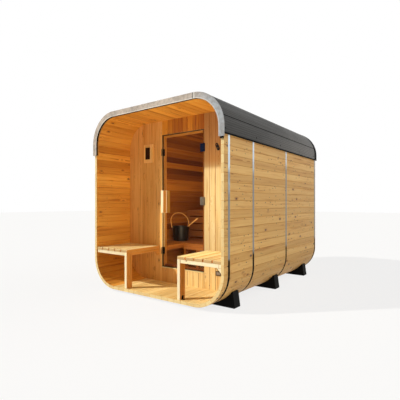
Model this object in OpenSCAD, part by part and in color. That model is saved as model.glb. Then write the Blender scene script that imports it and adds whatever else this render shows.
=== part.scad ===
// Outdoor sauna: a rounded-square stave cabin with a covered porch, a glass door
// and benches. +X is to the right seen from the porch, +Y runs from the porch into
// the cabin, +Z is up. The origin is on the ground under the middle of the object.

/* [Stave shell] */
// Outside width across the staves
body_w = 2080; // [1900:10:2300]
// Outside height of the staves
body_h = 2275; // [2200:5:2400]
// Length of the staves, porch to back
body_l = 2770; // [2600:10:3000]
// Thickness of a stave
stave_t = 38; // [34:1:42]
// Outside radius of the rounded corners
corner_r = 385; // [360:5:400]
// Bevelled staves that turn each corner
corner_staves = 7; // [5:1:9]
// Flat staves in the floor and in the roof
floor_staves_n = 14; // [12:1:16]
// Flat staves in each side wall
wall_staves_n = 16; // [14:1:18]
// Cut on the long edges of every stave and board
edge_v = 3; // [2:0.5:4]

/* [Porch wall and back wall] */
// Distance from the stave ends back to the porch wall
porch_depth = 585; // [560:5:640]
// Thickness of the porch wall and the back wall
wall_t = 42; // [38:1:46]
// Width of one upright wall board
board_w = 88; // [80:1:100]
// Distance from the stave ends in to the back wall
back_inset = 45; // [30:5:60]

/* [Door] */
// Left edge of the door opening
door_x0 = -354; // [-370:1:-340]
// Width of the door opening
door_w = 716; // [690:2:730]
// Bottom of the door opening above the underside of the shell
door_z0 = 240; // [220:5:260]
// Height of the door opening
door_h = 1804; // [1780:2:1820]
// Gap round the glass leaf
door_gap = 5.5; // [5.5:0.5:6.5]
// Thickness of the glass
glass_t = 8; // [8:1:10]

/* [Roof and hoops] */
// Height of the roof covering's lower edge above the underside of the shell
roof_edge_z = 1814; // [1800:1:1830]
// Thickness of the boarding under the roof covering
underlay_t = 8; // [7:0.5:10]
// Width of a steel hoop
hoop_w = 35; // [30:1:40]
// Thickness of a steel hoop
hoop_t = 1.5; // [1:0.25:2]

/* [Benches] */
// Top of the porch benches above the underside of the shell
bench_z = 521; // [500:1:540]
// Width of a porch bench from the side wall
bench_w = 587; // [560:1:600]
// Slats in each porch bench
bench_slats = 5; // [4:1:6]
// Thickness of a porch bench slat
porch_slat_t = 34; // [30:1:36]
// Thickness of a cabin bench slat
slat_t = 26; // [24:1:28]
// Gap between bench slats
slat_gap = 12; // [10:1:14]
// Top of the lower cabin bench above the underside of the shell
lower_bench_z = 490; // [470:1:500]
// Top of the upper cabin bench above the underside of the shell
upper_bench_z = 985; // [960:1:1000]

/* [Cradles] */
// Gap between the ground and the underside of the shell
ground_gap = 26; // [24:1:40]
// Thickness of a cradle beam along the cabin
cradle_t = 122; // [100:1:130]
// Half of the length of a cradle beam
cradle_half = 1000; // [960:5:1010]
// Height of the cradle ends above the underside of the shell
cradle_top = 148; // [130:1:160]

/* [Hidden] */

// Hair's breadth between pieces that fit inside or around the shell
fit = 0.05;
// Colours
wood = "#D9A25A";
pale_wood = "#F0C987";
deep_wood = "#B8752F";
steel = "#C9CDD0";
zinc = "#C4C2BE";
roof_grey = "#4A4A4B";
black = "#1C1C1D";

// How far the roof reaches past the stave ends
front_reach = 22;
back_reach = 22;
trim_t = 2;
// Place of the stave ends and of the shell's underside in the object's frame
y0 = -(body_l + back_reach - front_reach) / 2;
z0 = ground_gap;

inner_half = body_w / 2 - stave_t;
corners = [
    [body_w / 2 - corner_r, corner_r, -90],
    [body_w / 2 - corner_r, body_h - corner_r, 0],
    [corner_r - body_w / 2, body_h - corner_r, 90],
    [corner_r - body_w / 2, corner_r, 180]
];

// ---------- outlines ----------

function unit(v) = v / norm(v);

// Joint k of a corner, moved outward by o
function corner_point(c, k, o) =
    let (a = c[2] + 90 * k / corner_staves)
    [c[0] + (corner_r + o) * cos(a), c[1] + (corner_r + o) * sin(a)];

// The whole rounded square, moved outward by o
function outline(o) = [for (c = corners) for (k = [0:corner_staves]) corner_point(c, k, o)];

// Stave joints, each an outer and an inner point
function corner_joints(c) =
    [for (k = [0:corner_staves]) [corner_point(c, k, 0), corner_point(c, k, -stave_t)]];

function flat_joints(from, to, n) =
    let (
        a = [corner_point(from, corner_staves, 0), corner_point(from, corner_staves, -stave_t)],
        b = [corner_point(to, 0, 0), corner_point(to, 0, -stave_t)]
    )
    [for (i = [0:n]) a + (b - a) * i / n];

// One side of a run of staves with a V cut at every joint; s picks the side
function v_side(joints, s) = [
    for (i = [0:len(joints) - 1])
    let (p = joints[i][s], q = joints[i][1 - s])
    for (step = [-1, 0, 1])
    let (j = i + step)
    if (j >= 0 && j < len(joints))
    step == 0 ? p + edge_v * unit(q - p) : p + edge_v * unit(joints[j][s] - p)
];

function reversed(list) = [for (i = [len(list) - 1:-1:0]) list[i]];

function run_outline(joints) = concat(v_side(joints, 0), reversed(v_side(joints, 1)));

// ---------- helpers ----------

module in_frame() { translate([0, y0, z0]) children(); }

// Extrudes an X-Z outline along Y, from y over the length len
module along_y(y, len) {
    translate([0, y + len, 0]) rotate([90, 0, 0]) linear_extrude(len) children();
}

module box(x, y, z) {
    translate([x[0], y[0], z[0]]) cube([x[1] - x[0], y[1] - y[0], z[1] - z[0]]);
}

module stave_run(joints) { in_frame() along_y(0, body_l) polygon(run_outline(joints)); }

// Ring between two outward moves, kept above height z
module ring(o_in, o_out, z = -100) {
    intersection() {
        difference() {
            polygon(outline(o_out));
            polygon(outline(o_in));
        }
        translate([-body_w, z]) square([2 * body_w, 2 * body_h]);
    }
}

// ---------- stave shell ----------

module floor_staves() {
    color(wood) stave_run(flat_joints(corners[3], corners[0], floor_staves_n));
}

module right_wall_staves() {
    color(wood) stave_run(flat_joints(corners[0], corners[1], wall_staves_n));
}

module roof_staves() {
    color(wood) stave_run(flat_joints(corners[1], corners[2], floor_staves_n));
}

module left_wall_staves() {
    color(wood) stave_run(flat_joints(corners[2], corners[3], wall_staves_n));
}

module corner_run(i) { color(wood) stave_run(corner_joints(corners[i])); }

// ---------- upright board walls ----------

// V cut that runs the height of the wall on both faces
module board_joint(x, y) {
    for (side = [0, 1]) {
        translate([x, y + side * wall_t, 0])
            linear_extrude(body_h)
                polygon([[-edge_v, 0], [0, -edge_v], [edge_v, 0], [0, edge_v]]);
    }
}

// Part of the shell's inside between two heights and widths, boarded upright
module board_wall(y, x, z, joints) {
    in_frame() difference() {
        along_y(y, wall_t) intersection() {
            polygon(outline(-stave_t - fit));
            translate([x[0], z[0]]) square([x[1] - x[0], z[1] - z[0]]);
        }
        for (jx = joints) board_joint(jx, y);
    }
}

door_x1 = door_x0 + door_w;
door_z1 = door_z0 + door_h;
right_joints = [for (x = [door_x1 + board_w : board_w : inner_half - 20]) x];
left_joints = [for (x = [door_x0 - board_w : -board_w : 20 - inner_half]) x];
middle_joints = [for (x = [door_x1 - board_w : -board_w : door_x0 + 20]) x];

module porch_wall_left() {
    color(wood) board_wall(porch_depth, [-inner_half, door_x0], [0, body_h], left_joints);
}

module porch_wall_right() {
    color(wood) board_wall(porch_depth, [door_x1, inner_half], [0, body_h], right_joints);
}

module porch_wall_head() {
    color(wood) board_wall(porch_depth, [door_x0, door_x1], [door_z1, body_h], middle_joints);
}

module porch_wall_sill() {
    color(wood) board_wall(porch_depth, [door_x0, door_x1], [0, door_z0], middle_joints);
}

module back_wall() {
    joints = concat(left_joints, middle_joints, [door_x0, door_x1], right_joints);
    color(wood)
        board_wall(body_l - back_inset - wall_t, [-inner_half, inner_half], [0, body_h], joints);
}

// ---------- door ----------

glass_y = porch_depth + 8;
stop_y = glass_y + glass_t + 8;
stop_d = 36;
stop_w = 36;
// Hinge axis, just in front of the porch wall
hinge_x = door_x1 - 2;
hinge_y = porch_depth - 10;
hinge_r = 8;
pin_r = 4;
pin_gap = 0.25;
hinge_h = 104;
hinge_heights = [for (f = [0.121, 0.495, 0.871]) door_z0 + f * door_h];
catch_h = 94;
catch_heights = [for (f = [0.121, 0.868]) door_z0 + f * door_h];

// Lining with the stop that the glass closes against
module door_frame() {
    color(deep_wood) in_frame() along_y(stop_y, stop_d) difference() {
        translate([door_x0, door_z0]) square([door_w, door_h]);
        translate([door_x0 + stop_w, door_z0 + stop_w])
            square([door_w - 2 * stop_w, door_h - 2 * stop_w]);
    }
}

module door_glass() {
    color(wood, 0.35) in_frame() box(
        [door_x0 + door_gap, door_x1 - door_gap],
        [glass_y, glass_y + glass_t],
        [door_z0 + door_gap, door_z1 - door_gap]
    );
}

// Wall half: a plate on the boards, two knuckles and the pin
module hinge_plate(z) {
    knuckle = hinge_h * 0.3;
    box([hinge_x + 9, hinge_x + 19], [porch_depth - 5, porch_depth], [z - hinge_h / 2, z + hinge_h / 2]);
    for (zk = [z - hinge_h / 2, z + hinge_h / 2 - knuckle]) {
        box([hinge_x, hinge_x + 12], [hinge_y, porch_depth - 1], [zk, zk + knuckle]);
        translate([hinge_x, hinge_y, zk]) cylinder(r = hinge_r, h = knuckle, $fn = 32);
    }
    translate([hinge_x, hinge_y, z - hinge_h / 2]) cylinder(r = pin_r, h = hinge_h, $fn = 32);
}

module hinge_plates() {
    color(steel) in_frame() for (z = hinge_heights) hinge_plate(z);
}

// Door half: two plates that grip the glass and the knuckle between the wall's two
module hinge_clamp(z) {
    gap = 2;
    knuckle = hinge_h * 0.4 - 2 * gap;
    z1 = z - hinge_h / 2;
    z2 = z + hinge_h / 2;
    clamp_x = [hinge_x - 62, hinge_x - 9];
    difference() {
        union() {
            box(clamp_x, [glass_y - 7, glass_y], [z1, z2]);
            box([hinge_x - 12, hinge_x - 3], [hinge_y, glass_y - 2], [z - knuckle / 2, z + knuckle / 2]);
            translate([hinge_x, hinge_y, z - knuckle / 2])
                cylinder(r = hinge_r, h = knuckle, $fn = 32);
        }
        translate([hinge_x, hinge_y, z1]) cylinder(r = pin_r + pin_gap, h = hinge_h, $fn = 32);
    }
    box([clamp_x[0], clamp_x[1] - 16], [glass_y + glass_t, glass_y + glass_t + 3], [z1, z2]);
}

module hinge_clamps() {
    color(steel) in_frame() for (z = hinge_heights) hinge_clamp(z);
}

// Catches: a plate on the boards and a magnet block behind the glass
module jamb_catches() {
    color(black) in_frame() for (z = catch_heights) {
        box([door_x0 - 8, door_x0], [porch_depth - 5, porch_depth], [z - catch_h / 2, z + catch_h / 2]);
        box([door_x0 + 2, door_x0 + 32], [stop_y - 3, stop_y], [z - catch_h / 2, z + catch_h / 2]);
    }
}

handle_w = 44;
handle_inset = 35.5;
// The inside grip is narrower, to pass the stop as the door opens
grip_w = 34;
handle_h = 305;
handle_z = 977;
handle_out = 78;
handle_in = 56;

// Handle bar: a block with a finger groove down both long sides, from x = -w to 0
module handle_outline(w, depth) {
    groove_r = 13;
    difference() {
        translate([-w, 0]) square([w, depth]);
        for (s = [0, 1]) translate([s * (w + 6) - w - 3, groove_r + 6]) circle(groove_r, $fn = 32);
        for (s = [0, 1]) translate([-s * w, depth]) rotate(45) square(8, center = true);
    }
}

module door_handle() {
    x = door_x0 + door_gap + handle_inset + handle_w;
    color(pale_wood) in_frame() {
        translate([x, glass_y, handle_z])
            linear_extrude(handle_h) mirror([0, 1]) handle_outline(handle_w, handle_out);
        translate([x, glass_y + glass_t, handle_z])
            linear_extrude(handle_h) handle_outline(grip_w, handle_in);
    }
}

// ---------- roof, trims and hoops ----------

roof_out = hoop_t + underlay_t;
sheet_t = 1.5;
lap_z = 1993;
skin_out = roof_out + 2 * sheet_t;
trim_in = 54;
// Foot of the front trim on the right and on the left, and the depth of its inner lip
trim_z = 1784;
trim_left_z = 1748;
lip_d = 40;

// Ring cut off at the two feet of the front trim
module trim_ring(o_in, o_out) {
    intersection() {
        ring(o_in, o_out);
        polygon([
            [-body_w, trim_left_z], [0, trim_left_z], [0, trim_z], [body_w, trim_z],
            [body_w, 2 * body_h], [-body_w, 2 * body_h]
        ]);
    }
}

// Boarding over the hoops, with the arch that carries the front trim
module roof_boarding() {
    color(deep_wood) in_frame() {
        along_y(trim_t - front_reach, body_l + back_reach + front_reach - 2 * trim_t)
            ring(hoop_t, roof_out, roof_edge_z);
        along_y(trim_t - front_reach, front_reach - trim_t) trim_ring(trim_t - trim_in, hoop_t);
        along_y(-fit, lip_d - front_reach) trim_ring(trim_t - trim_in, -stave_t - fit);
    }
}

// Side sheets that the top sheet laps over
module roof_covering() {
    color(roof_grey) in_frame()
        along_y(trim_t - front_reach, body_l + back_reach + front_reach - 2 * trim_t) {
            difference() {
                ring(roof_out, roof_out + sheet_t, roof_edge_z);
                translate([-corners[0][0], lap_z]) square([2 * corners[0][0], body_h]);
            }
            ring(roof_out + sheet_t, skin_out, lap_z);
            intersection() {
                ring(roof_out, skin_out, lap_z);
                translate([-corners[0][0], lap_z]) square([2 * corners[0][0], body_h]);
            }
        }
}

// Angle along the lower edge of the covering on each side
module drip_edges() {
    drip_h = 14;
    drip_t = 1;
    x_in = body_w / 2 + hoop_t;
    x_out = body_w / 2 + roof_out + sheet_t;
    color(black) in_frame() for (s = [0, 1]) mirror([s, 0, 0]) {
        box([x_in, x_out + drip_t], [trim_t - front_reach, body_l + back_reach - trim_t],
            [roof_edge_z - trim_t, roof_edge_z]);
        box([x_out, x_out + drip_t], [trim_t - front_reach, body_l + back_reach - trim_t],
            [roof_edge_z, roof_edge_z + drip_h]);
    }
}

// Folded metal channel over the front of the roof
module front_edge_trim() {
    color(zinc) in_frame() {
        along_y(-front_reach, trim_t) trim_ring(-trim_in, skin_out + trim_t);
        along_y(-front_reach, lip_d) trim_ring(-trim_in, trim_t - trim_in);
        along_y(-front_reach, 10) trim_ring(skin_out, skin_out + trim_t);
    }
}

// Folded channel over the back of the roof
module back_edge_trim() {
    flange = 50;
    y_end = body_l + back_reach;
    color(black) in_frame() {
        along_y(y_end - trim_t, trim_t) ring(0, skin_out + trim_t, roof_edge_z - 6);
        along_y(y_end - flange, flange) ring(skin_out, skin_out + trim_t, roof_edge_z - 6);
    }
}

module hoop(y) {
    color(steel) in_frame() along_y(y - hoop_w / 2, hoop_w) ring(fit, hoop_t);
}

module front_hoop() { hoop(93); }
module porch_hoop() { hoop(618); }
module middle_hoop() { hoop(1560); }
module back_hoop() { hoop(body_l - 40); }

// ---------- cradles ----------

// Beam hollowed to the shell, its ends sloped inward
module cradle(y) {
    slope = 24;
    color(black) in_frame() along_y(y, cradle_t) difference() {
        polygon([
            [-cradle_half, -ground_gap], [cradle_half, -ground_gap],
            [cradle_half - slope, cradle_top], [slope - cradle_half, cradle_top]
        ]);
        polygon(outline(0));
    }
}

module front_cradle() { cradle(273); }
module middle_cradle() { cradle(1312); }
module back_cradle() { cradle(2353); }

// ---------- porch benches ----------

rail_h = 40;
rail_t = 34;
leg_w = 45;
leg_d = 90;
gusset_h = 60;
bench_y = 8;

// Slats laid from a toward b, with equal gaps
function slat_width(span, n) = (span - (n - 1) * slat_gap) / n;

module bench_seat() {
    w = slat_width(bench_w, bench_slats);
    for (i = [0:bench_slats - 1]) {
        x = -inner_half + i * (w + slat_gap);
        box([x, x + w], [bench_y, porch_depth], [bench_z - porch_slat_t, bench_z]);
    }
}

module bench_frame() {
    top = bench_z - porch_slat_t;
    low = top - rail_h;
    inner = bench_w - inner_half;
    rail_y = bench_y + 6;
    // rails round the four sides
    box([-inner_half, inner], [rail_y, rail_y + rail_t], [low, top]);
    box([-inner_half, inner], [porch_depth - rail_t, porch_depth], [low, top]);
    box([-inner_half, rail_t - inner_half], [rail_y, porch_depth], [low, top]);
    box([inner - rail_t, inner], [rail_y, porch_depth], [low, top]);
    // leg at the free corner
    box([inner - leg_w, inner], [bench_y, bench_y + leg_d], [stave_t, top]);
    // gusset against the side wall
    translate([0, rail_y + rail_t, 0]) rotate([90, 0, 0]) linear_extrude(rail_t)
        polygon([[-inner_half, low - gusset_h], [60 - inner_half, low], [-inner_half, low]]);
}

module left_bench_seat() { color(pale_wood) in_frame() bench_seat(); }
module left_bench_frame() { color(pale_wood) in_frame() bench_frame(); }
module right_bench_seat() { color(pale_wood) in_frame() mirror([1, 0, 0]) bench_seat(); }
module right_bench_frame() { color(pale_wood) in_frame() mirror([1, 0, 0]) bench_frame(); }

// ---------- cabin benches ----------

cabin_y0 = porch_depth + wall_t;
cabin_y1 = body_l - back_inset - wall_t;
// Front of the lower bench, front of the upper bench, inner edge of the side bench
lower_y = 1240;
upper_y = 1945;
side_x = -500;
lower_slats = 6;
side_slats = 4;
upper_slats = 6;
post = 45;
apron_h = 70;
apron_t = 28;
riser_n = 4;
riser_h = 108;
riser_pitch = 122;
riser_t = 20;

module lower_bench_seat() {
    w = slat_width(upper_y - riser_t - lower_y, lower_slats);
    sw = slat_width(side_x + inner_half, side_slats);
    z = [lower_bench_z - slat_t, lower_bench_z];
    color(deep_wood) in_frame() {
        for (i = [0:lower_slats - 1]) {
            y = lower_y + i * (w + slat_gap);
            box([-inner_half, inner_half], [y, y + w], z);
        }
        for (i = [0:side_slats - 1]) {
            x = -inner_half + i * (sw + slat_gap);
            box([x, x + sw], [cabin_y0, lower_y - slat_gap], z);
        }
    }
}

module lower_bench_frame() {
    top = lower_bench_z - slat_t;
    color(deep_wood) in_frame() {
        box([side_x - apron_t, inner_half], [lower_y, lower_y + apron_t], [top - apron_h, top]);
        box([side_x - apron_t, side_x], [cabin_y0, lower_y + apron_t], [top - 40, top]);
        for (x = [side_x - apron_t, -290, 290]) {
            box([x, x + post], [lower_y, lower_y + post], [stave_t, top]);
        }
        for (x = [side_x - apron_t, -290, 290]) {
            box([x, x + post], [lower_y, upper_y], [top - 40, top]);
        }
        box([-inner_half, apron_t - inner_half], [cabin_y0, upper_y], [top - 40, top]);
        box([inner_half - apron_t, inner_half], [lower_y, upper_y], [top - 40, top]);
        box([-inner_half, side_x], [cabin_y0, cabin_y0 + apron_t], [top - 40, top]);
    }
}

module upper_bench_seat() {
    w = slat_width(cabin_y1 - upper_y, upper_slats);
    color(deep_wood) in_frame() for (i = [0:upper_slats - 1]) {
        y = upper_y + i * (w + slat_gap);
        box([-inner_half, inner_half], [y, y + w], [upper_bench_z - slat_t, upper_bench_z]);
    }
}

module upper_bench_frame() {
    top = upper_bench_z - slat_t;
    color(deep_wood) in_frame() {
        for (i = [0:riser_n - 1]) {
            z = upper_bench_z - riser_h - i * riser_pitch;
            box([-inner_half, inner_half], [upper_y - riser_t, upper_y], [z, z + riser_h]);
        }
        for (x = [-inner_half, -post / 2, inner_half - post]) {
            box([x, x + post], [upper_y, upper_y + post], [corner_r, top]);
            box([x, x + post], [upper_y, cabin_y1], [top - post, top]);
        }
        box([-post / 2, post / 2], [upper_y, upper_y + post], [stave_t, top]);
    }
}

// ---------- wall fittings ----------

module panel_surround() {
    color(pale_wood) in_frame() along_y(porch_depth - 18, 18) difference() {
        translate([-690, 1681]) square([174, 256]);
        translate([-667, 1728]) square([97, 168]);
    }
}

module control_panel() {
    color(black) in_frame() box([-667, -570], [porch_depth - 12, porch_depth], [1728, 1896]);
}

// Slanted oval plate with two eyes
module oval_wall_plate() {
    color(black) in_frame() translate([569, porch_depth, 1799]) rotate([90, 25, 0])
        linear_extrude(8) difference() {
            union() {
                for (s = [-1, 1]) translate([0, s * 29]) circle(20, $fn = 48);
                translate([-20, -29]) square([40, 58]);
            }
            for (z = [27, -17]) translate([0, z]) circle(7, $fn = 32);
        }
}

module floor_vent() {
    color(black) in_frame() along_y(porch_depth - 8, 8) difference() {
        translate([543, 224]) square([78, 56]);
        for (i = [0:2]) translate([553, 233 + i * 14]) square([58, 9]);
    }
}

// ---------- bucket, bail and ladle ----------

bucket_at = [-780, 1490, lower_bench_z];
bucket_turn = 36;
ladle_turn = -22;
bucket_h = 238;
bucket_r0 = 122;
bucket_r1 = 142;
bucket_t = 4;

module bucket_frame() {
    in_frame() translate(bucket_at) rotate(bucket_turn) children();
}

module water_bucket() {
    color(black) bucket_frame() {
        rotate_extrude($fn = 96) polygon([
            [0, 0], [bucket_r0, 0], [bucket_r1, bucket_h], [bucket_r1 - bucket_t, bucket_h],
            [bucket_r0 - bucket_t, bucket_t], [0, bucket_t]
        ]);
        for (s = [-1, 1]) translate([s * (bucket_r1 - 1), 0, bucket_h - 22]) rotate([0, s * 90, 0])
            cylinder(r = 12, h = 9, $fn = 32);
    }
}

module bail_and_ladle() {
    bail_r = 7;
    arch_r = bucket_r1 + 8 + bail_r;
    leg_h = 85;
    color(pale_wood) bucket_frame() {
        translate([0, 0, bucket_h - 22]) {
            for (s = [-1, 1]) translate([s * arch_r, 0, 0]) cylinder(r = bail_r, h = leg_h, $fn = 24);
            translate([0, 0, leg_h]) rotate([90, 0, 0])
                rotate_extrude(angle = 180, $fn = 64) translate([arch_r, 0]) circle(bail_r, $fn = 24);
        }
        rotate(ladle_turn) translate([-58, 0, 42]) rotate([0, 43, 0]) {
            cylinder(r = 9, h = 430, $fn = 24);
            translate([0, 0, -20]) cylinder(r = 34, h = 34, $fn = 40);
        }
    }
}

// ---------- the object ----------

floor_staves();
left_wall_staves();
right_wall_staves();
roof_staves();
corner_run(0);  // lower_right_corner
corner_run(1);  // upper_right_corner
corner_run(2);  // upper_left_corner
corner_run(3);  // lower_left_corner
porch_wall_left();
porch_wall_right();
porch_wall_head();
porch_wall_sill();
back_wall();
door_frame();
hinge_plates();
jamb_catches();
roof_boarding();
roof_covering();
drip_edges();
front_edge_trim();
back_edge_trim();
front_hoop();
porch_hoop();
middle_hoop();
back_hoop();
front_cradle();
middle_cradle();
back_cradle();
left_bench_seat();
left_bench_frame();
right_bench_seat();
right_bench_frame();
lower_bench_seat();
lower_bench_frame();
upper_bench_seat();
upper_bench_frame();
panel_surround();
control_panel();
oval_wall_plate();
floor_vent();
water_bucket();
bail_and_ladle();
door_glass();
hinge_clamps();
door_handle();
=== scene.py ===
"""Looks of an outdoor sauna: a rounded-square stave cabin with a porch, benches and a glass door.

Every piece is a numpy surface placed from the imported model's own boxes, in metres.
"""

import logging
import math
from dataclasses import dataclass, field
from enum import Enum
from typing import Callable, Protocol

import bpy
import numpy as np
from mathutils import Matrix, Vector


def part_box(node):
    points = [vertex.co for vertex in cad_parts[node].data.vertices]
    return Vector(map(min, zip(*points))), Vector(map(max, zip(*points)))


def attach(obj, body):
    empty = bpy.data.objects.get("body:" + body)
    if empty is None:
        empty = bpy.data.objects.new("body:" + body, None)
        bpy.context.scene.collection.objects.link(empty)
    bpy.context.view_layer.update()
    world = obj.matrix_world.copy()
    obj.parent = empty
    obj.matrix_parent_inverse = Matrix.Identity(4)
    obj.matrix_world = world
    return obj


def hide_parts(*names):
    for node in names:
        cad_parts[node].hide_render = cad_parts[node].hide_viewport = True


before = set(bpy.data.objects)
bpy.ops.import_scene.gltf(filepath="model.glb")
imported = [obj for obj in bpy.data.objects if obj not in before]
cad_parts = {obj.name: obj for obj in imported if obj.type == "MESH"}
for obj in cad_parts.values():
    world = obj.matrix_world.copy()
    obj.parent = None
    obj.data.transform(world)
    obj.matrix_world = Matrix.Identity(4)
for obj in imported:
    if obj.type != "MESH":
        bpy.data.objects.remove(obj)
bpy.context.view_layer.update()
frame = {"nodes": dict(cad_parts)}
LOG = logging.getLogger("sauna")
RNG = np.random.default_rng(20)
UP = np.array([0.0, 0.0, 1.0])
WHITE = (1.0, 1.0, 1.0, 1.0)
# Metres from the middle that every piece stays within
FAR = 9.0
Material = bpy.types.Material
Socket = bpy.types.NodeSocket
Triple = tuple[float, float, float]
Colour = tuple[float, float, float, float]


class Body(Enum):
    """The two moving groups of the cabin."""

    CABIN = "cabin"
    DOOR = "door"


class Axis(Enum):
    """The direction that a timber's grain runs in."""

    X = 0
    Y = 1
    Z = 2


class Grain(Enum):
    """Where a wood finish reads its place from."""

    BOARD = "board"
    OBJECT = "object"


def linear(hex_colour: str, alpha: float = 1.0) -> Colour:
    """Turn a written colour into the renderer's own numbers.

    Args:
        hex_colour: six hex digits, red first.
        alpha: the fourth number.

    Returns:
        Linear red, green and blue, and alpha.
    """
    c = np.array([int(hex_colour[i:i + 2], 16) for i in (0, 2, 4)]) / 255
    rgb = np.where(c <= 0.04045, c / 12.92, ((c + 0.055) / 1.055) ** 2.4)
    return (float(rgb[0]), float(rgb[1]), float(rgb[2]), alpha)


# ---------- finishes ----------


class Graph:
    """Grows the nodes of one material, or of the world."""

    def __init__(self, name: str, world: bool = False) -> None:
        """Start an empty material or world called name."""
        self.owner = (bpy.data.worlds if world else bpy.data.materials).new(name)
        self.owner.use_nodes = True
        self.tree = self.owner.node_tree
        self.tree.nodes.clear()
        self.output = self.node("OutputWorld" if world else "OutputMaterial")

    def feed(self, socket: Socket, value: object) -> None:
        """Join an input to another node's socket, or set it to a plain value."""
        if isinstance(value, Socket):
            self.tree.links.new(value, socket)
        else:
            socket.default_value = value

    def node(self, kind: str, inputs: dict | None = None, **settings: object) -> bpy.types.Node:
        """Add a node.

        Args:
            kind: the node's type, without its ShaderNode prefix.
            inputs: a value or another node's socket for each input, by name or number.
            settings: attributes of the node.

        Returns:
            The new node.
        """
        made = self.tree.nodes.new("ShaderNode" + kind)
        for key, value in settings.items():
            setattr(made, key, value)
        for key, value in (inputs or {}).items():
            self.feed(made.inputs[key], value)
        return made

    def place(self) -> Socket:
        """Return where a point lies, in the object's own metres."""
        return self.node("TexCoord").outputs["Object"]

    def parts(self, place: Socket) -> tuple[Socket, ...]:
        """Return the x, y and z of a place."""
        return tuple(self.node("SeparateXYZ", {0: place}).outputs)

    def carried(self, attribute: str, output: str = "Vector") -> Socket:
        """Return a value that every point of the mesh carries."""
        return self.node("Attribute", attribute_name=attribute).outputs[output]

    def cells(self, place: Socket, scale: float, output: str = "Distance") -> Socket:
        """Return the distance to the nearest of many scattered points, or its colour."""
        return self.node("TexVoronoi", {"Vector": place, "Scale": scale}).outputs[output]

    def math(self, operation: str, a: object, b: object = 0.0, c: object = 0.0) -> Socket:
        """Return the socket of one sum of up to three values."""
        return self.node("Math", {0: a, 1: b, 2: c}, operation=operation).outputs[0]

    def total(self, value: object, factor: object, more: object = 0.0) -> Socket:
        """Return value times factor plus more."""
        return self.math("MULTIPLY_ADD", value, factor, more)

    def vector(self, operation: str, a: object, b: object) -> Socket:
        """Return the socket of one sum of two vectors."""
        return self.node("VectorMath", {0: a, 1: b}, operation=operation).outputs[0]

    def noise(self, place: object, stretch: Triple, detail: float = 2.0) -> Socket:
        """Return a soft random value from 0 to 1 that changes stretch times a metre along each axis."""
        at = self.vector("MULTIPLY", place, stretch)
        return self.node("TexNoise", {"Vector": at, "Scale": 1.0, "Detail": detail}).outputs["Fac"]

    def span(self, value: object, low: float, high: float,
             out: tuple[float, float] = (0.0, 1.0)) -> Socket:
        """Return value eased from low..high to the two numbers of out."""
        return self.node(
            "MapRange",
            {"Value": value, "From Min": low, "From Max": high, "To Min": out[0], "To Max": out[1]},
            interpolation_type="SMOOTHSTEP",
        ).outputs[0]

    def blend(self, share: object, a: object, b: object, how: str = "MIX") -> Socket:
        """Return colour a mixed with colour b by share."""
        made = self.node("Mix", data_type="RGBA", blend_type=how)
        for key, value in ((0, share), (6, a), (7, b)):
            self.feed(made.inputs[key], value)
        return made.outputs[2]

    def tint(self, colour: Socket, tone: Socket) -> Socket:
        """Return a colour multiplied by another."""
        return self.blend(1.0, colour, tone, "MULTIPLY")

    def bump(self, height: object, depth: float, strength: float = 0.6) -> Socket:
        """Return a normal raised by height times depth, in metres."""
        return self.node("Bump", {"Height": height, "Distance": depth, "Strength": strength}).outputs[0]

    def seen(self) -> Socket:
        """Return 1 for what the eye meets directly, in a mirror image or through glass, and else 0."""
        ray = self.node("LightPath").outputs
        direct = self.math("MAXIMUM", ray["Is Camera Ray"], ray["Is Glossy Ray"])
        return self.math("MAXIMUM", direct, ray["Is Transmission Ray"])

    def finish(self, shader: bpy.types.Node) -> Material | bpy.types.World:
        """Join a shader to the output and return what the nodes belong to."""
        self.tree.links.new(shader.outputs[0], self.output.inputs[0])
        return self.owner

    def shade(self, inputs: dict) -> Material:
        """Finish with the main shader, given these inputs."""
        return self.finish(self.node("BsdfPrincipled", inputs))


class Finish(Protocol):
    """Whatever builds one material."""

    def build(self) -> Material:
        """Return the material."""


def held(finish: Finish) -> Material:
    """Return a field that holds the material of a finish, built when its owner is."""
    return field(default_factory=finish.build)


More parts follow.
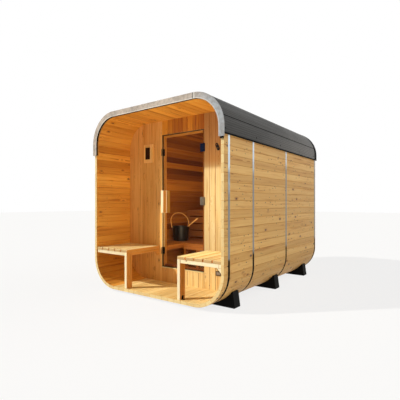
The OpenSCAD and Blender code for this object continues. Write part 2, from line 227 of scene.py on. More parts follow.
@dataclass(frozen=True)
class WoodFinish:
    """Planed softwood: grain streaks, knots, a tone of its own for every board.

    The fields that end in _y and _z are the two places, in metres, between which a tint fades in.
    """

    name: str
    pale: str
    mid: str
    dark: str
    knot: str = "6B3F1D"
    knots: float = 0.085
    tone_low: Triple = (0.80, 0.74, 0.66)
    tone_high: Triple = (1.08, 1.07, 1.04)
    streaks: float = 1.0
    rough: float = 0.55
    pins: float = 0.07
    aged: float = 1.0
    # upper: a painted shade above the shade line; lower: a painted light below the bench tops
    upper: Triple = WHITE[:3]
    lower: Triple = WHITE[:3]
    cabin_y: tuple[float, float] = (-0.768, -0.762)
    browning_and_painted_light_z: tuple[float, float] = (0.35, 0.60)
    painted_light_z: tuple[float, float] = (0.40, 0.50)
    painted_shade_z: tuple[float, float] = (1.52, 1.68)
    grain: Grain = Grain.BOARD

    def place(self, g: Graph) -> tuple[Socket, Socket]:
        """Return the sockets of the place in the board, grain along x, and of the board's tone."""
        if self.grain is Grain.BOARD:
            return g.carried("grain"), g.carried("tone", "Fac")
        spot = g.place()
        turned = g.node("Mapping", {"Vector": spot, "Rotation": (0.0, 0.0, math.pi / 2)}).outputs[0]
        return turned, g.noise(spot, (9.0, 0.05, 9.0), 0.0)

    def board_tone(self, g: Graph, cloud: Socket, tone: Socket, low: Triple, high: Triple) -> Socket:
        """Return a tint between low and high, by the board's tone and a soft cloud."""
        return g.blend(g.total(cloud, 0.5, g.total(tone, 0.9, -0.2)), (*low, 1.0), (*high, 1.0))

    def browned(self, g: Graph, cloud: Socket, tone: Socket) -> Socket:
        """Return the tint of heat-browned wood inside the cabin, and white everywhere else. The browning fades out
        towards the floor, so the wood under the benches stays lighter as painted light.
        """
        _, y, z = g.parts(g.place())
        back = float(edges_of("back_wall")[1][1])
        inside = g.math("MULTIPLY", g.span(y, *self.cabin_y), g.span(y, back, back + 0.004, (1.0, 0.0)))
        deep, warm = (tuple(self.aged * v for v in tint) for tint in ((0.45, 0.27, 0.12), (1.25, 1.05, 0.72)))
        brown = self.board_tone(g, cloud, tone, deep, warm)
        # heat browning above; the fade towards the floor is painted light under the benches
        return g.blend(g.math("MULTIPLY", inside, g.span(z, *self.browning_and_painted_light_z)), WHITE, brown)

    def painted_light_by_height(self, g: Graph) -> Socket:
        """Return painted light and shade by height: the tint lower, a painted light, near the ground, and upper, a
        painted shade, near the roof.
        """
        z = g.parts(g.place())[2]
        foot = g.blend(g.span(z, *self.painted_light_z), (*self.lower, 1.0), WHITE)
        return g.blend(g.span(z, *self.painted_shade_z), foot, (*self.upper, 1.0))

    def build(self) -> Material:
        """Return the material: streaks that bend round knots, in the board's tone."""
        g = Graph(self.name)
        spot, tone = self.place(g)
        wander = g.noise(spot, (0.8, 3.0, 3.0))
        away = g.cells(g.vector("MULTIPLY", spot, (4.2, 8.0, 8.0)), 1.0)
        pin = g.cells(g.vector("MULTIPLY", spot, (11.0, 22.0, 22.0)), 1.0)
        swirl = g.span(away, 0.05, 0.34, (0.035, 0.0))
        shift = g.total(wander, 0.05, swirl)
        bent = g.vector("ADD", spot, g.node("CombineXYZ", {1: shift, 2: shift}).outputs[0])
        broad = g.noise(bent, (0.9, 38.0, 38.0), 3.0)
        fine = g.noise(bent, (3.5, 150.0, 150.0), 2.0)
        cloud = g.noise(spot, (0.9, 2.2, 2.2), 2.0)
        streak = g.total(broad, 0.62, g.math("MULTIPLY", fine, 0.38))
        light = g.span(streak, 0.5 - 0.2 / self.streaks, 0.5 + 0.2 / self.streaks)
        late = g.span(streak, 0.55, 0.70, (0.0, 0.9))
        colour = g.blend(light, linear(self.pale), linear(self.mid))
        colour = g.blend(late, colour, linear(self.dark))
        colour = g.tint(colour, self.board_tone(g, cloud, tone, self.tone_low, self.tone_high))
        if self.aged < 1:
            colour = g.tint(colour, self.browned(g, cloud, tone))
        # painted shade high up and painted light low down, by height
        if self.upper != WHITE[:3]:
            colour = g.tint(colour, self.painted_light_by_height(g))
        core = g.span(away, self.knots * 0.75, self.knots * 1.1, (1.0, 0.0))
        halo = g.span(away, self.knots, self.knots * 2.3, (0.6, 0.0))
        speck = g.span(pin, self.pins * 0.6, self.pins * 1.3, (0.9, 0.0))
        colour = g.blend(halo, colour, linear(self.dark))
        colour = g.blend(g.math("MAXIMUM", core, speck), colour, linear(self.knot))
        rough = g.span(streak, 0.2, 0.8, (self.rough - 0.07, self.rough + 0.1))
        normal = g.bump(g.math("SUBTRACT", streak, g.math("MULTIPLY", core, 0.4)), 0.0016)
        return g.shade({"Base Color": colour, "Roughness": rough, "Normal": normal})


@dataclass(frozen=True)
class EndGrainFinish:
    """Sawn board ends: arcs of the year rings, darker than the face."""

    name: str
    pale: str
    dark: str

    def build(self) -> Material:
        """Return the material: rings round a point off each board's middle."""
        g = Graph(self.name)
        spot = g.carried("grain")
        tone = g.carried("tone", "Fac")
        flat = g.vector("MULTIPLY", spot, (0.0, 11.0, 7.0))
        ring = g.node("TexWave", {"Vector": flat, "Scale": 6.0, "Distortion": 2.5, "Detail": 2.0},
                      wave_type="RINGS").outputs["Fac"]
        pores = g.noise(spot, (500.0, 500.0, 500.0))
        share = g.total(ring, 0.5, g.total(tone, 0.4, -0.1))
        colour = g.blend(share, linear(self.pale), linear(self.dark))
        normal = g.bump(pores, 0.0006)
        return g.shade({"Base Color": colour, "Roughness": 0.8, "Normal": normal})


@dataclass(frozen=True)
class MetalFinish:
    """Sheet metal, bare or coated: a base colour with mottling and fine marks."""

    name: str
    colour: str
    mottle: str
    metallic: float
    rough: float
    cells: float = 60.0
    marks: float = 0.1
    shine: float = 0.5

    def build(self) -> Material:
        """Return the material: patches of two near colours and roughness that varies."""
        g = Graph(self.name)
        spot = g.place()
        patch = g.cells(spot, self.cells, "Color")
        value = g.node("SeparateColor", {0: patch}).outputs[0]
        cloud = g.noise(spot, (3.0, 3.0, 3.0), 4.0)
        brushed = g.noise(spot, (240.0, 240.0, 240.0), 2.0)
        share = g.total(value, 0.55, g.total(cloud, 0.9, -0.25))
        colour = g.blend(share, linear(self.colour), linear(self.mottle))
        rough = g.span(g.total(brushed, 0.5, g.math("MULTIPLY", cloud, 0.5)),
                       0.2, 0.8, (self.rough - self.marks, self.rough + self.marks))
        normal = g.bump(g.total(cloud, 3.0, brushed), 0.0003)
        return g.shade({"Base Color": colour, "Metallic": self.metallic, "Roughness": rough, "Normal": normal,
                        "Specular IOR Level": self.shine})


@dataclass(frozen=True)
class ZincFinish:
    """Galvanised sheet: crystal patches, warm over most of it, cold and grey on the right-hand arc."""

    name: str
    warm: str
    cold: str
    patch: str
    cells: float = 34.0
    rough: float = 0.5

    def build(self) -> Material:
        """Return the material: two tones by place across the cabin, under crystal patches and stains."""
        g = Graph(self.name)
        spot = g.place()
        across = g.parts(spot)[0]
        patch = g.cells(spot, self.cells, "Color")
        value = g.node("SeparateColor", {0: patch}).outputs[0]
        cloud = g.noise(spot, (5.0, 5.0, 5.0), 4.0)
        stain = g.noise(spot, (22.0, 22.0, 22.0), 3.0)
        colour = g.blend(g.span(across, 0.55, 0.95), linear(self.warm), linear(self.cold))
        share = g.total(value, 0.45, g.total(cloud, 1.1, -0.45))
        colour = g.blend(share, colour, linear(self.patch))
        colour = g.blend(g.span(stain, 0.6, 0.8, (0.0, 0.35)), colour, linear("5A544C"))
        rough = g.span(cloud, 0.2, 0.8, (self.rough - 0.1, self.rough + 0.1))
        normal = g.bump(g.total(cloud, 3.0, value), 0.0004)
        return g.shade({"Base Color": colour, "Metallic": 0.1, "Roughness": rough, "Normal": normal,
                        "Specular IOR Level": 0.2})


@dataclass(frozen=True)
class HoopFinish:
    """Steel strip: a painted sky reflection high up, duller lower down and towards the back, and a painted dark
    reflection near the ground.
    """

    name: str
    painted_sky_reflection: str
    dull: str
    # stained: the colour near the ground, a painted dark reflection
    stained: str
    painted_dark_below_z: float = 0.585
    rough: float = 0.3

    def build(self) -> Material:
        """Return the material: three tones by height, the highest a painted sky reflection and the lowest a painted
        dark reflection, with blotches, brushed along the band.
        """
        g = Graph(self.name)
        spot = g.place()
        _, y, z = g.parts(spot)
        blotch = g.noise(spot, (2.0, 1.0, 5.0), 2.0)
        height = g.total(y, -0.17, g.total(blotch, 0.5, g.math("ADD", z, -0.25)))
        low = g.total(blotch, 0.06, z)
        brushed = g.noise(g.carried("grain"), (3.0, 260.0, 260.0), 2.0)
        # painted sky reflection high up, painted dark reflection low down
        colour = g.blend(g.span(height, 1.50, 1.76), linear(self.dull), linear(self.painted_sky_reflection))
        above_painted_dark = g.span(low, self.painted_dark_below_z - 0.02, self.painted_dark_below_z + 0.03)
        colour = g.blend(above_painted_dark, linear(self.stained), colour)
        rough = g.span(brushed, 0.2, 0.8, (self.rough - 0.06, self.rough + 0.08))
        rough = g.math("ADD", rough, g.total(above_painted_dark, -0.5, 0.5))
        return g.shade({"Base Color": colour, "Metallic": g.math("MULTIPLY", above_painted_dark, 0.4), "Roughness": rough,
                               "Specular IOR Level": 0.1, "Normal": g.bump(g.total(blotch, 4.0, brushed), 0.0003)})


@dataclass(frozen=True)
class RoofFinish:
    """Matt coated roofing: dull grey with dust along the ribs and rain streaks down them."""

    name: str
    colour: str
    dusty: str
    # back: how far the painted sheen runs, lightening the sheets towards the rear
    back: float = 1.4
    rough: float = 0.55

    def build(self) -> Material:
        """Return the material: long pale streaks along the sheet over fine grit, lighter towards the back as a
        painted sheen and darker near the top as painted shade.
        """
        g = Graph(self.name)
        spot = g.place()
        dust = g.noise(spot, (26.0, 0.7, 26.0), 3.0)
        cloud = g.noise(spot, (1.6, 1.2, 1.6), 3.0)
        grit = g.noise(spot, (420.0, 420.0, 420.0), 1.0)
        _, along, height = g.parts(spot)
        share = g.total(dust, 0.8, g.total(cloud, 0.8, -0.8))
        # painted sheen: lighter towards the back
        share = g.math("ADD", share, g.span(along, -self.back, self.back))
        # painted shade: darker near the top
        share = g.math("SUBTRACT", share, g.span(height, 1.9, 2.15, (0.0, 0.5)))
        colour = g.blend(share, linear(self.colour), linear(self.dusty))
        rough = g.span(dust, 0.2, 0.8, (self.rough - 0.08, self.rough + 0.1))
        return g.shade({"Base Color": colour, "Roughness": rough, "Specular IOR Level": 0.12,
                 "Normal": g.bump(grit, 0.0004)})


@dataclass(frozen=True)
class PaintFinish:
    """Black plastic, rubber or stained timber: near-flat colour with wear and a faint grain."""

    name: str
    colour: str
    worn: str
    rough: float = 0.5
    shine: float = 0.15
    coat: float = 0.0
    stretch: Triple = (60.0, 60.0, 60.0)

    def build(self) -> Material:
        """Return the material: worn patches over grain that follows stretch."""
        g = Graph(self.name)
        spot = g.place()
        patch = g.noise(spot, (7.0, 7.0, 7.0), 4.0)
        grain = g.noise(spot, self.stretch, 3.0)
        share = g.span(g.total(patch, 0.6, g.math("MULTIPLY", grain, 0.4)), 0.42, 0.7)
        colour = g.blend(share, linear(self.colour), linear(self.worn))
        rough = g.span(grain, 0.2, 0.8, (self.rough - 0.06, self.rough + 0.1))
        return g.shade({"Base Color": colour, "Roughness": rough, "Coat Weight": self.coat,
                        "Specular IOR Level": self.shine, "Normal": g.bump(grain, 0.0007)})


@dataclass(frozen=True)
class GlassFinish:
    """Toned door glass that lamps shine through."""

    name: str
    tone: str

    def build(self) -> Material:
        """Return the material: clear toned glass to the eye, a plain tone to the lamps."""
        g = Graph(self.name)
        spot = g.place()
        smear = g.noise(spot, (3.0, 3.0, 1.2), 3.0)
        rough = g.span(smear, 0.45, 0.8, (0.0, 0.02))
        glass = g.node("BsdfPrincipled", {"Base Color": linear(self.tone), "Roughness": rough, "IOR": 1.0,
                                          "Transmission Weight": 1.0, "Coat Weight": 0.12, "Coat Roughness": 0.03})
        side = tuple(v ** 0.5 for v in linear(self.tone))
        clear = g.node("BsdfTransparent", {"Color": side})
        eye = g.node("LightPath").outputs["Is Camera Ray"]
        mix = g.node("MixShader", {0: eye, 1: clear.outputs[0], 2: glass.outputs[0]})
        return g.finish(mix)


@dataclass
class Finishes:
    """Every finish of the cabin, built once."""

    stave: Material = held(WoodFinish("oiled_stave", "F0C97F", "E0AB5D", "B87C38", knot="54300F",
        knots=0.10, pins=0.13, tone_low=(0.80, 0.70, 0.52), streaks=0.7))
    # a deeper orange copy of the porch wood, painted shade, for inner faces in shade
    shaded_lining: Material = held(WoodFinish("porch_lining", "FABA54", "E69A32", "A85E1A", knots=0.08,
        tone_low=(0.70, 0.56, 0.36), rough=0.5, aged=0.6))
    deck: Material = held(WoodFinish("porch_deck", "F9E0A0", "F1CE86", "C4924E", knots=0.08,
        tone_low=(0.84, 0.76, 0.62), rough=0.5, aged=0.6))
    # upper is painted shade above the shade line, lower is painted light under the benches
    wall: Material = held(WoodFinish("upright_board", "CCB88E", "C0A268", "9A7038", knots=0.06,
        tone_low=(0.84, 0.74, 0.58), rough=0.5, aged=0.6, upper=(0.84, 0.54, 0.31),
        lower=(1.5, 1.42, 1.2)))
    # a deeper orange copy of the board wood, painted shade, for boards in shade
    shady_wall: Material = held(WoodFinish("painted_shade_board", "F4C074", "E2A24C", "AC6C28", knots=0.06,
        tone_low=(0.84, 0.68, 0.42), rough=0.5))
    # a deep orange copy of the board wood, painted shade, for the boards over the door
    head: Material = held(WoodFinish("head_board", "F0A834", "CC7E14", "8C4408", knots=0.07,
        tone_low=(0.56, 0.40, 0.12), rough=0.5, aged=0.6))
    bench: Material = held(WoodFinish("bench_timber", "ECDAA2", "E2C47E", "C2944E", knots=0.05, pins=0.03,
        tone_low=(0.92, 0.86, 0.78), rough=0.55))
    # upper is painted shade above the sunlit part of the jamb
    jamb: Material = held(WoodFinish("jamb_board", "FFD084", "F2B860", "C88E4A", knots=0.03, pins=0.02,
        tone_low=(0.9, 0.84, 0.76), rough=0.5, upper=(0.84, 0.74, 0.62)))
    surround: Material = held(WoodFinish("panel_strip", "FFD084", "F2B860", "C88E4A", knots=0.03,
        pins=0.02, tone_low=(0.9, 0.84, 0.76), rough=0.5))
    # an orange copy of the bench wood, painted shade, for faces that look away from the key
    shaded: Material = held(WoodFinish("bench_side_painted_shade", "E6A050", "CE8838", "945820", knots=0.06, pins=0.04,
        tone_low=(0.86, 0.8, 0.7), rough=0.55))
    # a near-white copy of the bench wood, painted light, for faces towards the key
    sunlit_fronts: Material = held(WoodFinish("bench_front_painted_light", "FFF2D2", "F8E4B4", "D8B67C", knots=0.05, pins=0.03,
        tone_low=(0.95, 0.92, 0.86), rough=0.55))
    frame: Material = held(WoodFinish("cabin_timber", "B87C3E", "9C6028", "6E3C14", knots=0.06,
        tone_low=(0.7, 0.6, 0.46), rough=0.5))
    batten: Material = held(WoodFinish("roof_board", "C99A5F", "B08046", "855829", knots=0.07, rough=0.65,
        grain=Grain.OBJECT))
    ends: Material = held(EndGrainFinish("stave_end", "F2DA9E", "D2A864"))
    pale_ends: Material = held(EndGrainFinish("bench_end", "DDB77C", "A87D4A"))
    roof: Material = held(RoofFinish("roof_sheet", "454545", "828180"))
    # a darker copy of the roofing, painted shade in the rib grooves
    groove: Material = held(RoofFinish("roof_groove_painted_shade", "202020", "454544"))
    edge: Material = held(MetalFinish("black_edge", "060607", "0E0E10", 0.0, 0.6, cells=15.0, shine=0.02))
    zinc: Material = held(ZincFinish("galvanised_trim", "C4B4A4", "A6ACB2", "827A72"))
    # a paler copy of the zinc, a painted highlight along the inner fold and on the joint's lap
    fold: Material = held(ZincFinish("trim_fold_painted_highlight", "D8CEC2", "BCC0C4", "B2ACA2"))
    steel: Material = held(HoopFinish("hoop_steel", "D2E2F2", "909494", "0C0D09"))
    hinge: Material = held(MetalFinish("hinge_steel", "76695A", "51473B", 0.4, 0.35, cells=30.0, shine=0.3))
    # the top hinge's steel in shade, blue as a painted sky reflection
    blue: Material = held(MetalFinish("hinge_painted_sky_reflection", "0C1838", "161E3A", 0.1, 0.4, cells=30.0, shine=0.1))
    black: Material = held(PaintFinish("black_fitting", "0B0B0C", "161617", 0.4))
    eye: Material = held(PaintFinish("plate_eye", "8A5A2A", "9C6B36", 0.6))
    rubber: Material = held(PaintFinish("door_rubber", "5E4C36", "70604A", 0.7))
    cradle: Material = held(PaintFinish("cradle_timber", "080706", "151210", 0.6, 0.08,
        stretch=(4.0, 90.0, 90.0)))
    glass: Material = held(GlassFinish("door_glass", "E6D2B4"))
    glass_edge: Material = held(PaintFinish("glass_edge", "4A4232", "5A5040", 0.25))
    screen: Material = held(PaintFinish("panel_glass", "1A0507", "26090C", 0.18, 0.2, 0.1))
    bucket: Material = held(PaintFinish("bucket_shell", "0E0B07", "1E180C", 0.30, 0.4,
        stretch=(30.0, 30.0, 4.0)))


# ---------- surfaces ----------


class Surface:
    """Points and faces that grow into one mesh."""

    def __init__(self) -> None:
        """Start with nothing."""
        self.points: list[np.ndarray] = []
        self.grain: list[np.ndarray] = []
        self.tone: list[np.ndarray] = []
        self.faces: list[list[int]] = []
        self.slots: list[np.ndarray] = []
        self.count = 0
        self.tones = (0.0, 1.0)

    def loft(self, rings: np.ndarray, grain: np.ndarray | None = None, side: np.ndarray | int = 0,
             cap: int = 0, closed: bool = False) -> "Surface":
        """Skin rows of rings: point k of ring r joins k + 1 and the same k of ring r + 1.

        A ring turns anticlockwise about the way it travels, so the faces look outwards.

        Args:
            rings: items, rings, points of a ring, and x, y, z.
            grain: the place in the board of every point, shaped as rings.
            side: the finish number of the sides, one value or one for each point of a ring.
            cap: the finish number of the two ends.
            closed: join the last ring to the first instead of capping.

        Returns:
            This surface.
        """
        n, r, k, _ = rings.shape
        ids = self.count + np.arange(n * r * k).reshape(n, r, k)
        after = np.roll(ids, -1, axis=1) if closed else ids[:, 1:]
        now = ids if closed else ids[:, :-1]
        quads = np.stack([now, np.roll(now, -1, 2), np.roll(after, -1, 2), after], -1)
        self.faces += quads.reshape(-1, 4).tolist()
        self.slots.append(np.broadcast_to(side, quads.shape[:3]).ravel())
        if not closed:
            self.faces += ids[:, 0, ::-1].tolist() + ids[:, -1].tolist()
            self.slots.append(np.full(2 * n, cap))
        spread = RNG.uniform(0, 90, (n, 1, 1, 3))
        place = (rings if grain is None else grain) + spread
        self.points.append(rings.reshape(-1, 3))
        self.grain.append(np.broadcast_to(place, rings.shape).reshape(-1, 3))
        self.tone.append(np.repeat(RNG.uniform(*self.tones, n), r * k))
        self.count += n * r * k
        return self

    def paint(self, finish: int, low: Triple = (-FAR, -FAR, -FAR), high: Triple = (FAR, FAR, FAR),
              way: Triple | None = None) -> "Surface":
        """Give faces another finish number.

        Args:
            finish: the number.
            low: least corner of the box in which a face's middle lies.
            high: greatest corner of it.
            way: the direction that the faces look in, if only those are meant.

        Returns:
            This surface.
        """
        points = np.concatenate(self.points)
        corners = points[np.array([face[:3] for face in self.faces])]
        middle = np.array([points[face].mean(0) for face in self.faces])
        chosen = ((middle > low) & (middle < high)).all(1)
        if way is not None:
            normal = np.cross(corners[:, 1] - corners[:, 0], corners[:, 2] - corners[:, 0])
            normal /= np.linalg.norm(normal, axis=1, keepdims=True) + 1e-12
            chosen &= normal @ np.array(way) > 0.6
        slots = np.concatenate(self.slots)
        slots[chosen] = finish
        self.slots = [slots]
        return self

    def paint_sides(self, finish: int) -> "Surface":
        """Give the faces that look left or right another finish number."""
        return self.paint(finish, way=(-1.0, 0.0, 0.0)).paint(finish, way=(1.0, 0.0, 0.0))

    def build(self, name: str, finishes: list[Material], body: Body = Body.CABIN,
              slot: str | None = None, replaces: tuple[str, ...] = (), smooth: float = 0.0) -> None:
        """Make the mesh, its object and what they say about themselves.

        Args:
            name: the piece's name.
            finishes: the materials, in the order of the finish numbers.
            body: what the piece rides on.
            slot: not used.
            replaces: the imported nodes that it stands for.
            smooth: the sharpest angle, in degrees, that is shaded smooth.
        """
        mesh = bpy.data.meshes.new(name)
        mesh.from_pydata(np.concatenate(self.points).tolist(), [], self.faces)
        for finish in finishes:
            mesh.materials.append(finish)
        mesh.polygons.foreach_set("material_index", np.concatenate(self.slots).astype(np.int32))
        place = mesh.attributes.new("grain", "FLOAT_VECTOR", "POINT")
        place.data.foreach_set("vector", np.concatenate(self.grain).astype(np.float32).ravel())
        tone = mesh.attributes.new("tone", "FLOAT", "POINT")
        tone.data.foreach_set("value", np.concatenate(self.tone).astype(np.float32))
        if smooth:
            mesh.shade_smooth()
            mesh.set_sharp_from_angle(angle=math.radians(smooth))
        mesh.update()
        piece = bpy.data.objects.new(name, mesh)
        bpy.context.scene.collection.objects.link(piece)
        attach(piece, body.value)
        if replaces:
            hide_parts(*replaces)
        LOG.info("%s: %d points, %d faces", name, self.count, len(self.faces))


def edges_of(node: str) -> tuple[np.ndarray, np.ndarray]:
    """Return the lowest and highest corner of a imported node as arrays."""
    low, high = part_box(node)
    return np.array(low), np.array(high)


def lengths(path: np.ndarray) -> np.ndarray:
    """Return how far along a path each of its points lies."""
    return np.concatenate([[0], np.cumsum(np.linalg.norm(np.diff(path, axis=0), axis=1))])


def at_lengths(spots: np.ndarray, length: np.ndarray, values: np.ndarray) -> np.ndarray:
    """Return pairs of values between those known at each length, at the spots asked for."""
    return np.stack([np.interp(spots, length, values[:, i]) for i in (0, 1)], -1)


def stacked(*parts: object) -> np.ndarray:
    """Return points from their coordinates, each one value or an array of them."""
    return np.stack(np.broadcast_arrays(*parts), -1)


def upright(flat: np.ndarray, y: object) -> np.ndarray:
    """Return points given by their x and z, put at depth y."""
    return stacked(flat[..., 0], y, flat[..., 1])


def round_section(half: np.ndarray, radius: float, steps: int = 2) -> np.ndarray:
    """Rectangle with rounded corners: each corner is a quarter circle drawn anticlockwise.

    Args:
        half: half sizes, items by 2.
        radius: of the corners.
        steps: pieces in each quarter.

    Returns:
        Items by 4 * (steps + 1) points by 2.
    """
    turn = np.radians(np.arange(4)[:, None] * 90 + np.linspace(0, 90, steps + 1)).ravel()
    sign = np.repeat([[1, 1], [-1, 1], [-1, -1], [1, -1]], steps + 1, axis=0)
    arc = np.stack([np.cos(turn), np.sin(turn)], -1) * radius
    return (half[:, None, :] - radius) * sign + arc


def timbers(surface: Surface, low: object, high: object, axis: Axis, radius: float = 0.0025,
            cap: int = 1) -> Surface:
    """Add square-sawn timbers with eased edges and ends.

    Each is its rounded section carried along the axis, drawn in by the radius at both ends.

    Args:
        surface: what they are added to.
        low: lowest corners, items by 3.
        high: highest corners, items by 3.
        axis: the way of the grain.
        radius: of the eased edges.
        cap: the finish number of the ends.

    Returns:
        The same surface.
    """
    low, high = np.atleast_2d(np.asarray(low, float)), np.atleast_2d(np.asarray(high, float))
    a = axis.value
    b, c = (a + 1) % 3, (a + 2) % 3
    middle, half = (low + high) / 2, (high - low) / 2
    rings = np.empty((len(low), 4, 12, 3))
    inset = radius * 0.7
    for r, (end, draw) in enumerate(((-1, inset), (-1, 0.0), (1, 0.0), (1, inset))):
        flat = round_section(half[:, [b, c]] - draw, radius)
        rings[:, r, :, b] = middle[:, b, None] + flat[..., 0]
        rings[:, r, :, c] = middle[:, c, None] + flat[..., 1]
        rings[:, r, :, a] = middle[:, a, None] + end * (half[:, a, None] - (inset - draw))
    grain = (rings - middle[:, None, None, :])[..., [a, b, c]]
    return surface.loft(rings, grain, 0, cap)


def joinery(surface: Surface, parts: dict[Axis, list], radius: float, cap: int = 1,
            place: Callable | None = None) -> Surface:
    """Add timbers of several grain ways.

    Args:
        surface: what they are added to.
        parts: the lowest and highest corner of each timber, by the way of its grain.
        radius: of the eased edges.
        cap: the finish number of the ends.
        place: moves lowest and highest corners to where they belong, if they aren't there yet.

    Returns:
        The same surface.
    """
    for axis, boxes in parts.items():
        corners = np.array(boxes)
        low, high = corners[:, 0], corners[:, 1]
        timbers(surface, *(place(low, high) if place else (low, high)), axis, radius, cap)
    return surface


def border(surface: Surface, low: np.ndarray, high: np.ndarray, hole_low: np.ndarray, hole_high: np.ndarray,
           radius: float, cap: int = 1) -> Surface:
    """Add four bars that fill a box round a hole in x and z, the uprights running full height."""
    x = [low[0], hole_low[0], hole_high[0], high[0]]
    z = [low[2], hole_low[2], hole_high[2], high[2]]
    sides = [((x[i], low[1], z[0]), (x[i + 1], high[1], z[3])) for i in (0, 2)]
    bars = [((x[1], low[1], z[i]), (x[2], high[1], z[i + 1])) for i in (0, 2)]
    return joinery(surface, {Axis.Z: sides, Axis.X: bars}, radius, cap)


def window(surface: Surface, low: np.ndarray, high: np.ndarray, width: float, radius: float,
           cap: int = 1) -> Surface:
    """Add four bars of one width round the edge of a box in x and z."""
    return border(surface, low, high, low + width, high - width, radius, cap)


def turned(surface: Surface, profile: list[tuple[float, float]], centre: object, steps: int = 32,
           tilt: np.ndarray | None = None) -> Surface:
    """Add a turned shape: circles of the profile's radii, stacked at its heights.

    Args:
        surface: what it is added to.
        profile: radius and height, bottom to top, then down inside where it is hollow.
        centre: the point or points that the foot stands on.
        steps: points round.
        tilt: three columns, the shape's own x, y and z in the frame.

    Returns:
        The same surface.
    """
    turn = np.linspace(0, 2 * np.pi, steps, endpoint=False)
    radius, height = np.array(profile, float).T
    ring = stacked(radius[:, None] * np.cos(turn), radius[:, None] * np.sin(turn), height[:, None])
    ring = ring if tilt is None else ring @ np.asarray(tilt).T
    at = np.atleast_2d(np.asarray(centre, float))
    rings = at[:, None, None, :] + ring
    grain = np.broadcast_to(ring[..., [2, 0, 1]], rings.shape)
    return surface.loft(rings, grain)


def tube(surface: Surface, path: np.ndarray, radius: float, across: np.ndarray, steps: int = 14) -> Surface:
    """Add a round bar along a flat curve.

    A circle is carried along the path, square to it; across is the normal of the curve's plane.
    """
    way = np.gradient(path, axis=0)
    way /= np.linalg.norm(way, axis=1, keepdims=True)
    side = np.cross(across, way)
    turn = np.linspace(0, 2 * np.pi, steps, endpoint=False)[:, None]
    ring = (np.cos(turn) * across)[None] - np.sin(turn)[None] * side[:, None, :]
    rings = path[:, None, :] - radius * ring
    grain = stacked(lengths(path)[:, None], radius * np.cos(turn)[:, 0], radius * np.sin(turn)[:, 0])
    return surface.loft(rings[None], grain[None])


def basis(normal: object) -> np.ndarray:
    """Return three columns of which the last is the normal's direction."""
    z = np.asarray(normal, float) / np.linalg.norm(normal)
    x = np.cross(UP if abs(z[2]) < 0.9 else np.array([0.0, 1.0, 0.0]), z)
    x /= np.linalg.norm(x)
    return np.stack([x, np.cross(z, x), z], 1)


def screw_heads(surface: Surface, points: object, normal: object, radius: float) -> Surface:
    """Add low domed screw heads with a hollow drive, one at every point, facing along normal."""
    profile = [(radius, -0.0006), (radius, 0.0004), (0.75 * radius, 0.0011), (0.3 * radius, 0.0012),
               (0.25 * radius, 0.0003)]
    return turned(surface, profile, points, 10, basis(normal))


# ---------- the shell ----------


@dataclass
class Outline:
    """The rounded square that staves, hoops, roof and trims follow."""

    half_w: float
    flat: float
    low: float
    high: float
    thick: float
    front: float
    back: float

    @classmethod
    def measured(cls) -> "Outline":
        """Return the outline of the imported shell."""
        floor_low, floor_high = edges_of("floor_staves")
        wall_low, wall_high = edges_of("right_wall_staves")
        return cls(wall_high[0], floor_high[0], wall_low[2], wall_high[2],
                   floor_high[2] - floor_low[2], floor_low[1], floor_high[1])

    @property
    def radius(self) -> float:
        """Return the outside radius of the corners."""
        return self.half_w - self.flat

    @property
    def corners(self) -> list[Triple]:
        """Return centre and first angle of each corner, anticlockwise from the lower right."""
        return [(self.flat, self.low, -90.0), (self.flat, self.high, 0.0),
                (-self.flat, self.high, 90.0), (-self.flat, self.low, 180.0)]

    def corner(self, i: int, out: float, t: np.ndarray) -> np.ndarray:
        """Return points on corner i, moved outward by out, at shares t of its quarter turn."""
        x, z, first = self.corners[i % 4]
        turn = np.radians(first + 90 * np.asarray(t, float))
        r = self.radius + out
        return np.stack([x + r * np.cos(turn), z + r * np.sin(turn)], -1)

    def flat_side(self, i: int, out: float, t: np.ndarray) -> np.ndarray:
        """Return points on the flat from corner i to the next, at shares t of its length."""
        a, b = self.corner(i, out, 1.0), self.corner(i + 1, out, 0.0)
        return a + (b - a) * np.asarray(t, float)[..., None]

    def path(self, cut: tuple[float, float] | None = None, step: float = 3.0) -> tuple[np.ndarray, np.ndarray]:
        """Walk round the outline, anticlockwise, with smooth corners.

        Args:
            cut: the heights that the walk starts at, on the right, and ends at, or None to go right round.
            step: degrees between points in the corners.

        Returns:
            Points by 2, and the outward normals there.
        """
        n = int(round(90 / step))
        turn = np.linspace(0, 1, n + 1)
        chosen = [0, 1, 2, 3] if cut is None else [1, 2]
        points = np.concatenate([self.corner(i, 0.0, turn) for i in chosen])
        angle = np.concatenate([np.radians(self.corners[i][2] + 90 * turn) for i in chosen])
        normals = np.stack([np.cos(angle), np.sin(angle)], -1)
        if cut is not None:
            ends = np.array([[self.half_w, cut[0]], [-self.half_w, cut[1]]])
            points = np.concatenate([ends[:1], points, ends[1:]])
            normals = np.concatenate([[[1.0, 0.0]], normals, [[-1.0, 0.0]]])
        return points, normals

    def sweep(self, surface: Surface, profile: object, cut: tuple[float, float] | None = None,
              side: np.ndarray | int = 0) -> Surface:
        """Carry a profile round the outline.

        Args:
            surface: what is added to.
            profile: outward distance and y of each point, anticlockwise about the way of travel.
            cut: the heights to start and end at, or None for a closed hoop.
            side: finish number, one or one for each profile point.

        Returns:
            The same surface.
        """
        points, normals = self.path(cut)
        out, y = np.array(profile, float).T
        flat = points[:, None, :] + normals[:, None, :] * out[None, :, None]
        grain = stacked(lengths(points)[:, None], y, out)
        return surface.loft(upright(flat, y)[None], grain[None], side, 0, closed=cut is None)


